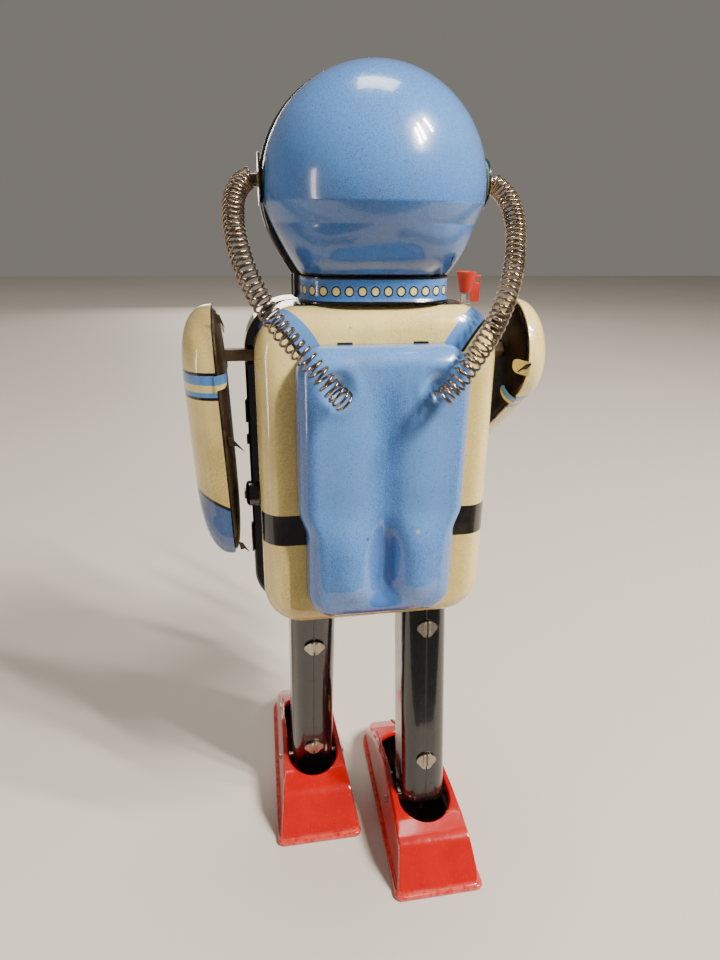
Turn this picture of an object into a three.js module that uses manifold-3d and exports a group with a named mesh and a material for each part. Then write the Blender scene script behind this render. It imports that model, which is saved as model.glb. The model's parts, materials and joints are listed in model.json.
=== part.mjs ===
// Tin wind-up robot: a lithographed astronaut robot with a clockwork walking motor.
// Millimetres, +Z up. The robot faces -Y, and +X is the robot's own left.
// While it is built, y = 0 is the flat back of the body and z = 0 the floor; the whole
// group is then shifted so that the origin is at the bottom centre of its bounding box.
import * as THREE from 'three';
import { mergeVertices } from 'three/addons/utils/BufferGeometryUtils.js';
import Module from 'manifold-3d';

const wasm = await Module();
wasm.setup();

// ---------------------------------------------------------------- driving dimensions
const tin = 0.6;                    // wall of the stamped shells
const gap = 0.3;                    // air between neighbouring pieces

const bodyHalfWidth = 30.9;
const bodyDepth = 38;
const bodyBottom = 82.7;
const bodyTop = 170.4;
const bodyEdge = 6.5;               // rounding between the flat back or chest and the sides
const bodyCorner = 11;              // rounding of the two lower corners
const shoulderFall = 13.5;          // height of the rounded shoulder
const flangeInset = 1.4;            // how far the front shell's flange reaches in at the seam
const seamY = -19;                  // where the rear and front shells of the body meet
const seamLap = 2.3;                // how far the front shell stands out beyond the rear one

const neckTop = 177.3;
const neckHalfWidth = 18.7;
const neckRear = -2.5;
const neckFront = -31;
const neckBoxiness = 3.4;           // superellipse exponent of the neck

const headRadius = 27.2;
const headY = -15.3;
const headZ = 196.8;
const helmetSeamY = -18;
const helmetBead = 1.0;             // raised bead on the front half of the helmet
const visorHalfWidth = 17.5;
const visorHalfHeight = 14.5;
const visorZ = 197;

const packHalfWidth = 21.6;
const packLowerHalfWidth = 19.6;
const packTop = 161.8;
const packBottom = 89;
const packStepZ = 115;
const packDepth = 8.2;
const packCorner = 7;
const packEdge = 4.5;               // rounding between the panel and its sides
const packStepRise = 3;             // height over which the sides step out
const tankRadius = 8.6;
const tankX = 9.3;

const hoseRadius = 2.7;             // outside of the coil spring that makes each air hose
const hoseSides = 8;
const hoseSteps = 15;
const earRadius = 7.4;
const earZ = 198.4;

const armShaftY = -20;
const armShaftZ = 156.3;
const armShaftSide = 3;             // square bar
const armInnerX = 40.6;             // plane where the two arm stampings meet
const armDepth = 8.9;               // how far the outer stamping bulges away from the body
const armTrayDepth = 2.3;           // how far the inner stamping stands towards the body
const armTop = 13;
const armTip = -57;
const armShoulderHalf = 15.3;
const armWristHalf = 10.6;
const rightArmRaise = THREE.MathUtils.degToRad(47);
const armLean = THREE.MathUtils.degToRad(2.2);

const legX = 16.7;
const hipY = -17.6;
const hipZ = 93;                    // guide pin: each leg swings about it
const legSwing = THREE.MathUtils.degToRad(8.56);
const legLift = 2.46;               // each strut rides this far above or below the middle
const legHalfWidth = 6.8;
const legHalfDepth = 8.9;
const legTubeTop = 3;               // above the guide pin, in the leg's own frame
const ankleAboveFloor = 11;
const ankleDrop = (hipZ - ankleAboveFloor) / Math.cos(legSwing);   // along the leg
const legTubeFoot = -81;
const upperTabDrop = 21.3;
const lowerTabDrop = 66.1;
const strutThickness = 1;
const strutHalfDepth = 4.6;
const crankThrow = 3.05;
const crankDrop = 12;               // crankshaft above the guide pin

const footLength = 73.9;
const footHalfWidth = 13.7;
const toeNarrowing = 1.6;
const heelCorner = 2.5;
const toeCorner = 9;
const footHeelBehindAnkle = 28.5;
const footHoleRear = 14.5;          // distances forward from the heel
const footHoleFront = 57;
const rollerAt = -45;
const rollerZ = 5;
const footHoleHalfWidth = 8.1;

const motorX = 7.7;                 // inner faces of the two motor plates
const plateThickness = 1;
const gearModule = 0.6;
const arborRadius = 1.5;
const windSquareEnd = 35.2;         // the winding square ends just outside its boss
const windBossEnd = 34.9;
const stopSlot = { y: [-31, -26], z: [120.6, 126.8] };

// Arbors, as [y, z]. Each wheel meshes the pinion on the next arbor.
const crankAt = [hipY, hipZ + crankDrop];
const windAt = [crankAt[0] - 2.4, crankAt[1] + 11.758];
const secondAt = [crankAt[0] - 10.4, crankAt[1] - 4.669];
const governorAt = [secondAt[0] - 1.4, secondAt[1] + 9.497];
const palletAt = [governorAt[0], governorAt[1] + 8.6];
const pillarAt = [[-8.5, 97], [-9.5, 126.5], [-31.5, 126.5]];

// ---------------------------------------------------------------- finishes
const finish = (color, roughness, metalness) =>
  new THREE.MeshStandardMaterial({ color, roughness, metalness });
const blueTin = finish('#6f9dd2', 0.22, 0.1);
const creamTin = finish('#e4d8a4', 0.24, 0.1);
const blackTin = finish('#0b0b0d', 0.18, 0.1);
const redTin = finish('#d3201f', 0.25, 0.1);
const bareTin = finish('#8d867c', 0.45, 0.9);
const springSteel = finish('#8a7767', 0.3, 1);
const plateSteel = finish('#9a9a98', 0.4, 1);
const brass = finish('#b8924a', 0.35, 1);
const chrome = finish('#d9d9dc', 0.12, 1);
const redPlastic = finish('#c4282b', 0.35, 0);

// ---------------------------------------------------------------- helpers
// A closed three.js geometry becomes a manifold solid, and the other way round.
function solid(geometry) {
  const bare = geometry.clone();
  for (const name of Object.keys(bare.attributes)) {
    if (name !== 'position') bare.deleteAttribute(name);
  }
  const merged = mergeVertices(bare, 1e-4);
  return new wasm.Manifold(new wasm.Mesh({
    numProp: 3,
    vertProperties: new Float32Array(merged.attributes.position.array),
    triVerts: new Uint32Array(merged.index.array),
  }));
}

function geometryOf(body) {
  const mesh = body.getMesh();
  const geometry = new THREE.BufferGeometry();
  geometry.setAttribute('position', new THREE.BufferAttribute(new Float32Array(mesh.vertProperties), 3));
  geometry.setIndex(new THREE.BufferAttribute(new Uint32Array(mesh.triVerts), 1));
  geometry.computeVertexNormals();
  return geometry;
}

function piece(name, shape, material) {
  const geometry = shape.isBufferGeometry ? shape : geometryOf(shape);
  const mesh = new THREE.Mesh(geometry, material);
  mesh.name = name;
  return mesh;
}

// A box given by its lowest and highest corners.
function boxBetween(low, high) {
  const size = high.map((value, i) => value - low[i]);
  const middle = high.map((value, i) => (value + low[i]) / 2);
  return new THREE.BoxGeometry(...size).translate(...middle);
}

// A round bar along X, from x0 to x1, centred on (y, z).
function barX(radius, x0, x1, y, z, sides = 16) {
  const bar = new THREE.CylinderGeometry(radius, radius, x1 - x0, sides);
  return bar.rotateZ(-Math.PI / 2).translate((x0 + x1) / 2, y, z);
}

// A flat outline in the Y-Z plane, made thick along X from x0 to x1.
function sliceX(shape, x0, x1) {
  const slab = new THREE.ExtrudeGeometry(shape, { depth: x1 - x0, bevelEnabled: false, curveSegments: 6 });
  slab.applyMatrix4(new THREE.Matrix4().set(0, 0, 1, x0, 1, 0, 0, 0, 0, 1, 0, 0, 0, 0, 0, 1));
  return slab;
}

// Turns a closed geometry's faces the other way.
function reversed(geometry) {
  const index = Array.from(geometry.index.array);
  for (let i = 0; i < index.length; i += 3) [index[i], index[i + 1]] = [index[i + 1], index[i]];
  geometry.setIndex(index);
  return geometry;
}

// Reflects a closed, indexed geometry in the plane X = 0.
function mirrored(geometry) {
  return reversed(geometry.clone().applyMatrix4(new THREE.Matrix4().makeScale(-1, 1, 1)));
}

// Six times the volume that a closed geometry holds; negative when it is inside out.
function signedVolume(geometry) {
  const at = (k) => new THREE.Vector3().fromBufferAttribute(geometry.attributes.position, geometry.index.getX(k));
  let total = 0;
  for (let k = 0; k < geometry.index.count; k += 3) total += at(k).dot(at(k + 1).cross(at(k + 2)));
  return total;
}

// A body skinned over rings of equal point count, with both ends closed.
function loft(rings) {
  const count = rings[0].length;
  const points = rings.flat();
  const index = [];
  for (let r = 0; r + 1 < rings.length; r++) {
    for (let i = 0; i < count; i++) {
      const a = r * count + i;
      const b = r * count + (i + 1) % count;
      index.push(a, b, b + count, a, b + count, a + count);
    }
  }
  const caps = [[0, true], [rings.length - 1, false]];
  for (const [ring, first] of caps) {
    const middle = new THREE.Vector3();
    rings[ring].forEach((point) => middle.add(point));
    points.push(middle.divideScalar(count));
    for (let i = 0; i < count; i++) {
      const a = ring * count + i;
      const b = ring * count + (i + 1) % count;
      index.push(...(first ? [b, a, points.length - 1] : [a, b, points.length - 1]));
    }
  }
  const geometry = new THREE.BufferGeometry().setFromPoints(points);
  geometry.setIndex(index);
  return signedVolume(geometry) < 0 ? reversed(geometry) : geometry;
}

// Signed power, for superellipses.
const bend = (value, power) => Math.sign(value) * Math.abs(value) ** power;

// A superellipse ring at height z: exponent 2 is an ellipse, more is boxier.
function ovalRing(halfX, halfY, y, z, exponent = 2, count = 28) {
  return Array.from({ length: count }, (_, i) => {
    const t = (i / count) * Math.PI * 2;
    const x = halfX * bend(Math.cos(t), 2 / exponent);
    return new THREE.Vector3(x, y + halfY * bend(Math.sin(t), 2 / exponent), z);
  });
}

// ---------------------------------------------------------------- helmet and neck
// The helmet is a ball that draws in to the boxy neck; 'inset' makes the inner skin.
function helmetBall(inset, floorZ) {
  const rings = [];
  const ballFrom = -0.12;           // sine of the latitude where the ball hands over to the neck
  const neckY = (neckRear + neckFront) / 2;
  const neckHalfDepth = (neckRear - neckFront) / 2;
  const waistZ = headZ + headRadius * ballFrom;
  const waist = headRadius * Math.sqrt(1 - ballFrom * ballFrom);
  if (floorZ < neckTop) {
    rings.push(ovalRing(neckHalfWidth - inset, neckHalfDepth - inset, neckY, floorZ, neckBoxiness));
  }
  for (let i = 0; i <= 4; i++) {
    const t = i / 4;
    const z = neckTop + (waistZ - neckTop) * t;
    const ease = t * (1.35 - 0.35 * t);
    const halfX = neckHalfWidth + (waist - neckHalfWidth) * ease;
    const halfY = neckHalfDepth + (waist - neckHalfDepth) * ease;
    const y = neckY + (headY - neckY) * ease;
    const boxiness = neckBoxiness + (2 - neckBoxiness) * Math.min(1, t * 1.4);
    rings.push(ovalRing(halfX - inset, halfY - inset, y, z, boxiness));
  }
  for (let i = 1; i <= 7; i++) {
    const latitude = Math.asin(ballFrom) + (Math.PI / 2 - Math.asin(ballFrom)) * (i / 7.3);
    const radius = headRadius - inset;
    rings.push(ovalRing(radius * Math.cos(latitude), radius * Math.cos(latitude), headY,
      headZ + radius * Math.sin(latitude)));
  }
  return solid(loft(rings));
}

function helmet() {
  const group = new THREE.Group();
  const hollow = helmetBall(tin, neckTop - 2);
  const ball = helmetBall(0, neckTop);
  const rearSide = solid(boxBetween([-60, helmetSeamY, 150], [60, 60, 260]));
  const frontSide = solid(boxBetween([-60, -80, 150], [60, helmetSeamY - gap, 260]));
  group.add(piece('helmet_rear_shell', ball.subtract(hollow).intersect(rearSide), blueTin));

  const bead = new THREE.TorusGeometry(headRadius - 0.7, helmetBead + 0.4, 5, 28);
  bead.rotateX(Math.PI / 2).translate(0, helmetSeamY - gap - helmetBead - 0.5, headZ);
  const aboveNeck = solid(boxBetween([-60, -80, headZ - 16], [60, 60, 260]));
  const visor = new THREE.CylinderGeometry(1, 1, 40, 24);
  visor.scale(visorHalfWidth, 1, visorHalfHeight).translate(0, headY - 30, visorZ);
  const earWay = (x0, x1) => solid(barX(earRadius + gap, x0, x1, headY, earZ, 24));
  const front = ball.add(solid(bead).intersect(aboveNeck)).subtract(hollow).intersect(frontSide)
    .subtract(solid(visor)).subtract(earWay(27.2, 40)).subtract(earWay(-40, -27.2));
  group.add(piece('helmet_front_shell', front, blackTin));

  group.add(piece('visor_bezel', visorBezel(), chrome));
  group.add(piece('face_plate', facePlate(), creamTin));
  group.add(piece('crown_tab', boxBetween([-2.2, helmetSeamY + 0.4, headZ + headRadius - 0.05],
    [2.2, helmetSeamY + 4, headZ + headRadius + 0.5]), blackTin));
  for (const [side, name] of [[1, 'left'], [-1, 'right']]) {
    const profile = [[0, 0], [earRadius, 0], [earRadius, 0.5], [earRadius - 1.2, 1.1], [0, 1.3]];
    const disc = new THREE.LatheGeometry(profile.map((p) => new THREE.Vector2(...p)), 24);
    disc.rotateZ(-side * Math.PI / 2).translate(side * (headRadius + gap), headY, earZ);
    group.add(piece(`${name}_ear_disc`, disc, creamTin));
  }
  return group;
}

// An elliptical ring that lines the visor opening, just clear of the helmet's edge.
function visorBezel() {
  const ring = (grow, y) => Array.from({ length: 24 }, (_, i) => {
    const t = (i / 24) * Math.PI * 2;
    return new THREE.Vector3((visorHalfWidth + grow) * Math.cos(t), y,
      visorZ - (visorHalfHeight + grow) * Math.sin(t));
  });
  const outer = solid(loft([ring(-gap, headY - 22.5), ring(-gap, headY - 17)]));
  const inner = solid(loft([ring(-1.6, headY - 30), ring(-1.6, headY - 10)]));
  return outer.subtract(inner);
}

// A shallow domed plate set behind the visor.
function facePlate() {
  const [halfX, halfZ, rise] = [19.5, 16.5, 4.2];
  const ring = (scale, y) => Array.from({ length: 24 }, (_, i) => {
    const t = (i / 24) * Math.PI * 2;
    return new THREE.Vector3(halfX * scale * Math.cos(t), y, halfZ * scale * Math.sin(t));
  });
  const dome = [0.02, 0.4, 0.75, 1].map((scale) => ring(scale, -rise * (1 - scale * scale)));
  return solid(loft([...dome, ring(1, 0.8)]).translate(0, headY - 12.5, visorZ));
}

function neckRing() {
  const y = (neckRear + neckFront) / 2;
  const half = (neckRear - neckFront) / 2;
  const band = (inset, z) => ovalRing(neckHalfWidth + 0.1 - inset, half - inset, y, z, neckBoxiness);
  const low = bodyTop + gap;
  const high = neckTop - gap;
  const outer = solid(loft([band(-0.6, low), band(0, low + 1.2), band(0, high)]));
  return piece('neck_ring', outer.subtract(solid(loft([band(tin, low - 1), band(tin, high + 1)]))), blueTin);
}

// ---------------------------------------------------------------- body
// The body's outline seen from behind, drawn in by 'inset'.
function bodyOutline(inset, y, wider = 0) {
  const half = bodyHalfWidth + wider - inset;
  const low = bodyBottom - wider + inset;
  const high = bodyTop - inset;
  const corner = Math.max(bodyCorner - inset, 2);
  const shoulderX = half - (neckHalfWidth + 1.5 - inset * 0.8);
  const shoulderZ = shoulderFall - inset * 0.5;
  const points = [];
  const arc = (cx, cz, rx, rz, from, to, steps) => {
    for (let i = 0; i <= steps; i++) {
      const t = THREE.MathUtils.degToRad(from + (to - from) * (i / steps));
      points.push(new THREE.Vector3(cx + rx * Math.cos(t), y, cz + rz * Math.sin(t)));
    }
  };
  arc(half - corner, low + corner, corner, corner, 0, -90, 4);
  arc(-half + corner, low + corner, corner, corner, -90, -180, 4);
  arc(-half + shoulderX, high - shoulderZ, shoulderX, shoulderZ, 180, 90, 4);
  arc(half - shoulderX, high - shoulderZ, shoulderX, shoulderZ, 90, 0, 4);
  return points;
}

// The whole body box from y = back to y = front, with both long edges rounded.
function bodyBlock(inset, wider = 0) {
  const rings = [];
  const back = -inset;
  const front = -bodyDepth + inset;
  const round = bodyEdge - inset * 0.5;
  for (let i = 0; i <= 3; i++) {
    const t = (i / 3) * Math.PI / 2;
    rings.push(bodyOutline(inset + round * (1 - Math.sin(t)), back - round * (1 - Math.cos(t)), wider));
  }
  for (let i = 3; i >= 0; i--) {
    const t = (i / 3) * Math.PI / 2;
    rings.push(bodyOutline(inset + round * (1 - Math.sin(t)), front + round * (1 - Math.cos(t)), wider));
  }
  return solid(loft(rings));
}

function body() {
  const group = new THREE.Group();
  const legWay = solid(boxBetween([-26.5, -31, bodyBottom - 4], [26.5, -5, bodyBottom + 8]));
  const neckWay = solid(loft([bodyTop - 4, bodyTop + 2].map((z) => ovalRing(neckHalfWidth - 2,
    (neckRear - neckFront) / 2 - 2, (neckRear + neckFront) / 2, z, neckBoxiness))));
  const armWay = solid(barX(2.7, -40, 40, armShaftY, armShaftZ));
  const windWay = solid(barX(2.2, 20, 40, ...windAt));
  const stopWay = solid(boxBetween([-40, stopSlot.y[0], stopSlot.z[0]], [-20, stopSlot.y[1], stopSlot.z[1]]));
  const ways = legWay.add(neckWay).add(armWay).add(windWay).add(stopWay);

  const rearHalf = solid(boxBetween([-60, seamY + gap, 60], [60, 20, 200]));
  const rear = bodyBlock(0).subtract(bodyBlock(tin)).subtract(ways).intersect(rearHalf);
  group.add(piece('body_rear_shell', rear, creamTin));

  // The front shell's flange laps round the rear shell at the seam.
  const frontHalf = solid(boxBetween([-60, -60, 60], [60, seamY, 200]));
  const overNeck = solid(boxBetween([-60, -60, bodyTop], [60, 20, 200]));
  const flange = bodyBlock(0, seamLap).subtract(bodyBlock(flangeInset))
    .intersect(solid(boxBetween([-60, seamY - tin, 60], [60, seamY, 200])));
  const front = bodyBlock(0, seamLap).subtract(bodyBlock(tin, seamLap)).intersect(frontHalf).add(flange)
    .subtract(ways).subtract(overNeck);
  group.add(piece('body_front_shell', front, creamTin));
  return group;
}

// ---------------------------------------------------------------- backpack
function packOutline(inset, y) {
  const points = [];
  const arc = (cx, cz, r, from, to, steps) => {
    for (let i = 0; i <= steps; i++) {
      const t = THREE.MathUtils.degToRad(from + (to - from) * (i / steps));
      points.push(new THREE.Vector3(cx + r * Math.cos(t), y, cz + r * Math.sin(t)));
    }
  };
  const low = packLowerHalfWidth - inset;
  const wide = packHalfWidth - inset;
  const corner = Math.max(packCorner - inset, 1.5);
  arc(low - corner, packBottom + inset + corner, corner, 0, -90, 4);
  arc(-low + corner, packBottom + inset + corner, corner, -90, -180, 4);
  points.push(new THREE.Vector3(-low, y, packStepZ), new THREE.Vector3(-wide, y, packStepZ + packStepRise));
  arc(-wide + corner, packTop - inset - corner, corner, 180, 90, 4);
  arc(wide - corner, packTop - inset - corner, corner, 90, 0, 4);
  points.push(new THREE.Vector3(wide, y, packStepZ + packStepRise), new THREE.Vector3(low, y, packStepZ));
  return points;
}

function packBlock(inset, from) {
  const round = packEdge;
  const rings = [];
  for (let i = 0; i <= 3; i++) {
    const t = (i / 3) * Math.PI / 2;
    rings.push(packOutline(inset + round * (1 - Math.sin(t)), packDepth - inset - round * (1 - Math.cos(t))));
  }
  rings.push(packOutline(inset, from));
  return solid(loft(rings));
}

// One air tank: a capsule that stands proud of the pack's panel.
function tank(side, inset) {
  const radius = tankRadius - inset;
  const low = packBottom + 9.5;
  const high = packTop - 16;
  const profile = [];
  for (let i = 0; i <= 4; i++) {
    const t = (i / 4) * Math.PI / 2;
    profile.push(new THREE.Vector2(radius * Math.sin(t), low - (radius - 1) * Math.cos(t)));
  }
  for (let i = 4; i >= 0; i--) {
    const t = (i / 4) * Math.PI / 2;
    profile.push(new THREE.Vector2(radius * 0.93 * Math.sin(t), high + radius * Math.cos(t)));
  }
  profile[0].x = 0;
  profile[profile.length - 1].x = 0;
  const capsule = new THREE.LatheGeometry(profile, 14);
  return solid(capsule.rotateX(Math.PI / 2).translate(side * tankX, 1.6, 0));
}

function backpack() {
  const start = gap;
  const behind = solid(boxBetween([-40, start, 60], [40, 40, 200]));
  const outer = packBlock(0, start).add(tank(1, 0)).add(tank(-1, 0)).intersect(behind);
  const inner = packBlock(tin, start - 3).add(tank(1, tin)).add(tank(-1, tin));
  return piece('backpack_shell', outer.subtract(inner), blueTin);
}

// ---------------------------------------------------------------- air hoses
// Each hose is a close coil spring from an ear disc, out over the shoulder, to the pack.
// The points are for the left hose; the right one mirrors them.
const hoseRoute = [
  [29.3, -15.3, 198.4], [30.5, -15.3, 198.4], [33.2, -12.4, 195.4], [34.2, -8, 190], [33.2, -3.4, 182.6],
  [30.6, 1.6, 175.4], [25.4, 7.6, 167.2], [19, 12.4, 160], [13.8, 14.2, 153.8], [11.4, 13.7, 151],
];

function hose(side, name) {
  const points = hoseRoute.map(([x, y, z]) => new THREE.Vector3(side * x, y, z));
  const path = new THREE.CatmullRomCurve3(points, false, 'centripetal');
  const section = new THREE.Shape();
  for (let i = 0; i < hoseSides; i++) {
    const t = (i / hoseSides) * Math.PI * 2;
    const [x, y] = [hoseRadius * Math.cos(t), hoseRadius * Math.sin(t)];
    if (i) section.lineTo(x, y);
    else section.moveTo(x, y);
  }
  const tube = new THREE.ExtrudeGeometry(section, { steps: hoseSteps, extrudePath: path, bevelEnabled: false });
  return piece(`${name}_hose_spring`, tube, springSteel);
}

// ---------------------------------------------------------------- arms
// Half of an arm's outline at drop z below the shaft: broad shoulder, narrow mitten.
function armHalf(t) {
  const shoulder = armShoulderHalf + (armWristHalf - armShoulderHalf) * Math.min(1, t * 1.25) ** 1.2;
  const topRound = Math.sqrt(Math.max(0, 1 - Math.max(0, 1 - t / 0.2) ** 2));
  const tipRound = Math.sqrt(Math.max(0, 1 - Math.max(0, 1 - (1 - t) / 0.16) ** 2.2));
  return shoulder * topRound * tipRound;
}

// The arm's stamping as rings stacked towards +X, each one smaller than the last.
function armBulge(depth, inset, lip = 0) {
  const count = 13;
  const steps = 3;
  const rings = [];
  for (let k = 0; k <= steps; k++) {
    const t = (k / steps) * Math.PI / 2;
    const shrink = k === steps ? 0.45 : 1 - 0.28 * (1 - Math.cos(t * 0.92)) - 0.05 * k / steps;
    const ring = [];
    for (let i = 0; i < 2 * count; i++) {
      const along = i < count ? i / count : (2 * count - i) / count;
      const half = Math.max(armHalf(0.5 - 0.5 * Math.cos(along * Math.PI)), 0) - inset;
      const z = armTop - inset - (armTop - armTip - 2 * inset) * (0.5 - 0.5 * Math.cos(along * Math.PI));
      const y = (i < count ? -1 : 1) * Math.max(half, 0);
      const middle = (armTop + armTip) / 2 + 6;
      ring.push(new THREE.Vector3((depth - inset) * Math.sin(t) - (k === 0 ? lip : 0), y * shrink,
        middle + (z - middle) * (1 - (1 - shrink) * 0.62)));
    }
    rings.push(ring);
  }
  return solid(loft(rings));
}

function arm(side, name) {
  const group = new THREE.Group();
  group.position.set(0, armShaftY, armShaftZ);
  if (side < 0) group.rotation.x = -rightArmRaise;
  const half = armShaftSide / 2;
  const square = solid(boxBetween([-9, -half - gap, -half - gap], [6, half + gap, half + gap]));
  const outer = armBulge(armDepth, 0).subtract(armBulge(armDepth, tin, 2)).subtract(square);
  const tray = armBulge(armTrayDepth, tin + gap).subtract(armBulge(armTrayDepth - tin, tin * 2 + gap, 2))
    .subtract(square);
  const outerShell = geometryOf(outer).rotateY(armLean).translate(armInnerX, 0, 0);
  const innerShell = mirrored(geometryOf(tray)).rotateY(armLean).translate(armInnerX - gap, 0, 0);
  const shaft = solid(boxBetween([24, -half, -half], [armInnerX + 4.8, half, half]))
    .add(solid(sliceX(leverShape(), 22.6, 24.2))).add(solid(barX(1.2, 20.6, 23, 0, -9, 10)));
  const parts = [
    [`${name}_arm_outer_shell`, outerShell, creamTin],
    [`${name}_arm_inner_shell`, innerShell, bareTin],
    [`${name}_arm_shaft`, geometryOf(shaft), bareTin],
  ];
  for (const [label, geometry, material] of parts) {
    const shape = side < 0 ? solid(mirrored(geometry)) : solid(geometry);
    const notched = side < 0 && !label.endsWith('shaft') ? shape.subtract(tongueBox(gap)) : shape;
    group.add(piece(label, notched, material));
  }
  if (side < 0) group.add(rayGun());
  return group;
}

// The driving lever on the inner end of an arm shaft.
function leverShape() {
  const shape = new THREE.Shape();
  shape.absarc(0, 0, 3, 0, Math.PI, false);
  shape.lineTo(-2, -9);
  shape.absarc(0, -9, 2, Math.PI, Math.PI * 2, false);
  shape.closePath();
  return shape;
}

// ---------------------------------------------------------------- ray gun
// A generic toy ray gun on the front edge of the right mitten: its tongue is caught in the
// seam of the arm, and it stands upright while the arm is raised.
const gunAt = { x: -(armInnerX - gap / 2), forward: -16.5, along: -41 };
const tongue = { halfX: 0.6, y: [-16, -6], z: [-43.2, -39.4] };

function tongueBox(room) {
  return solid(boxBetween([gunAt.x - tongue.halfX - room, tongue.y[0], tongue.z[0] - room],
    [gunAt.x + tongue.halfX + room, tongue.y[1] + room, tongue.z[1] + room]));
}

function rayGun() {
  const gun = new THREE.Group();
  const place = (geometry) => geometry.rotateX(rightArmRaise).translate(gunAt.x, gunAt.forward, gunAt.along);
  const turned = (profile, sides = 14) => {
    const lathe = new THREE.LatheGeometry(profile.map((p) => new THREE.Vector2(...p)), sides);
    return lathe.rotateX(Math.PI / 2);
  };
  const body = solid(place(turned([[0, -4], [2, -4], [2.9, -2.6], [3.1, 8], [2.3, 11.6], [0, 11.6]])));
  gun.add(piece('ray_gun_body', body.add(tongueBox(0)), chrome));
  const fin = boxBetween([-0.4, -5.2, 21.4], [0.4, -1, 27]);
  const finHole = barX(0.9, -2, 2, -3.7, 23.6, 10);
  const barrel = turned([[0, 11.9], [1.7, 11.9], [1.7, 20], [2.1, 20.4], [2.1, 21.2], [1.8, 21.6],
    [1.8, 27.4], [0, 27.4]]);
  gun.add(piece('ray_gun_barrel', solid(place(barrel)).add(solid(place(fin)).subtract(solid(place(finHole)))),
    chrome));
  const muzzle = turned([[0, 27.7], [1.9, 27.7], [3.3, 33.6], [3.3, 34.4], [1.6, 34.4], [0.8, 32.5], [0, 32.5]]);
  gun.add(piece('ray_gun_muzzle', place(muzzle), redPlastic));
  return gun;
}

// ---------------------------------------------------------------- legs and feet
const roundBox = (halfX, halfY, radius) => {
  const shape = new THREE.Shape();
  shape.moveTo(halfX, -halfY + radius);
  shape.absarc(halfX - radius, halfY - radius, radius, 0, Math.PI / 2, false);
  shape.absarc(-halfX + radius, halfY - radius, radius, Math.PI / 2, Math.PI, false);
  shape.absarc(-halfX + radius, -halfY + radius, radius, Math.PI, Math.PI * 1.5, false);
  shape.absarc(halfX - radius, -halfY + radius, radius, Math.PI * 1.5, Math.PI * 2, false);
  return shape;
};

const tabDrops = [upperTabDrop, lowerTabDrop];

function legTube() {
  const shell = (inset, from, to) => new THREE.ExtrudeGeometry(
    roundBox(legHalfWidth - inset, legHalfDepth - inset, 4.6 - inset),
    { depth: to - from, bevelEnabled: false, curveSegments: 4 }).translate(0, 0, from);
  let tube = solid(shell(0, legTubeFoot, legTubeTop)).subtract(solid(shell(tin, legTubeFoot - 1, legTubeTop + 1)));
  for (const drop of tabDrops) {
    tube = tube.subtract(solid(boxBetween([-0.9, 4, -drop - 2.4], [0.9, 12, -drop + 2.4])));
  }
  const travel = legLift + gap;
  const guideWay = solid(boxBetween([-9, -3, -3 - travel], [9, 3, 3 + travel]));
  const ankleWay = solid(boxBetween([-9, -1.5, legTubeFoot - 2], [9, 1.5, -ankleDrop + 1.5 + travel]));
  return tube.subtract(guideWay).subtract(ankleWay);
}

// The strut inside the tube: eye over the crank pin, slot for the guide bush, slot for the
// ankle pin, and two split tabs bent over behind the tube.
function legStrut() {
  const half = strutThickness / 2;
  const top = crankDrop;
  const outline = new THREE.Shape();
  outline.absarc(0, top, 3.4, 0, Math.PI, false);
  outline.lineTo(-3.4, 7);
  outline.lineTo(-strutHalfDepth, 4);
  outline.lineTo(-strutHalfDepth, -ankleDrop + 4);
  outline.lineTo(-3, -ankleDrop - 5.4);
  outline.lineTo(3, -ankleDrop - 5.4);
  outline.lineTo(strutHalfDepth, -ankleDrop + 4);
  outline.lineTo(strutHalfDepth, 4);
  outline.lineTo(3.4, 7);
  outline.closePath();
  let strut = solid(sliceX(outline, -half, half));
  strut = strut.subtract(solid(barX(1.5, -2, 2, 0, top, 14)));
  const travel = legLift + gap;
  strut = strut.subtract(solid(boxBetween([-2, -2.75, -2.75 - travel], [2, 2.75, 2.75 + travel])));
  strut = strut.subtract(solid(boxBetween([-2, -1.4, -ankleDrop - 1.4 - travel],
    [2, 1.4, -ankleDrop + 1.4 + travel])));
  for (const drop of tabDrops) {
    const stem = boxBetween([-half, strutHalfDepth - 0.5, -drop - 2], [half, legHalfDepth + gap + 0.2, -drop + 2]);
    strut = strut.add(solid(stem));
    for (const side of [-1, 1]) strut = strut.add(tabEar(side, drop));
  }
  return strut;
}

// One bent-over half of a split tab, lying against the back of the tube.
function tabEar(side, drop) {
  const ear = new THREE.Shape();
  ear.moveTo(0.25 * side, 2.4);
  ear.quadraticCurveTo(3.6 * side, 1.6, 3.1 * side, -0.4);
  ear.quadraticCurveTo(2.2 * side, -1.2, 1.2 * side, -2.6);
  ear.lineTo(0.25 * side, -2.9);
  ear.closePath();
  const slab = new THREE.ExtrudeGeometry(ear, { depth: 0.5, bevelEnabled: false, curveSegments: 4 });
  slab.rotateX(Math.PI / 2).translate(0, legHalfDepth + gap + 0.5, -drop);
  return solid(slab);
}

// The side view of a foot, as [forward from the heel, height] pairs.
const footProfile = [[0, 0], [0, 1.6], [1.4, 2], [8.2, 12.2], [9.6, 13.4], [16, 15.4], [24, 17], [40, 17],
  [52, 14.6], [62, 11], [69, 7.6], [72.5, 4.6], [73.3, 2], [73.9, 1.6], [73.9, 0]];

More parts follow.
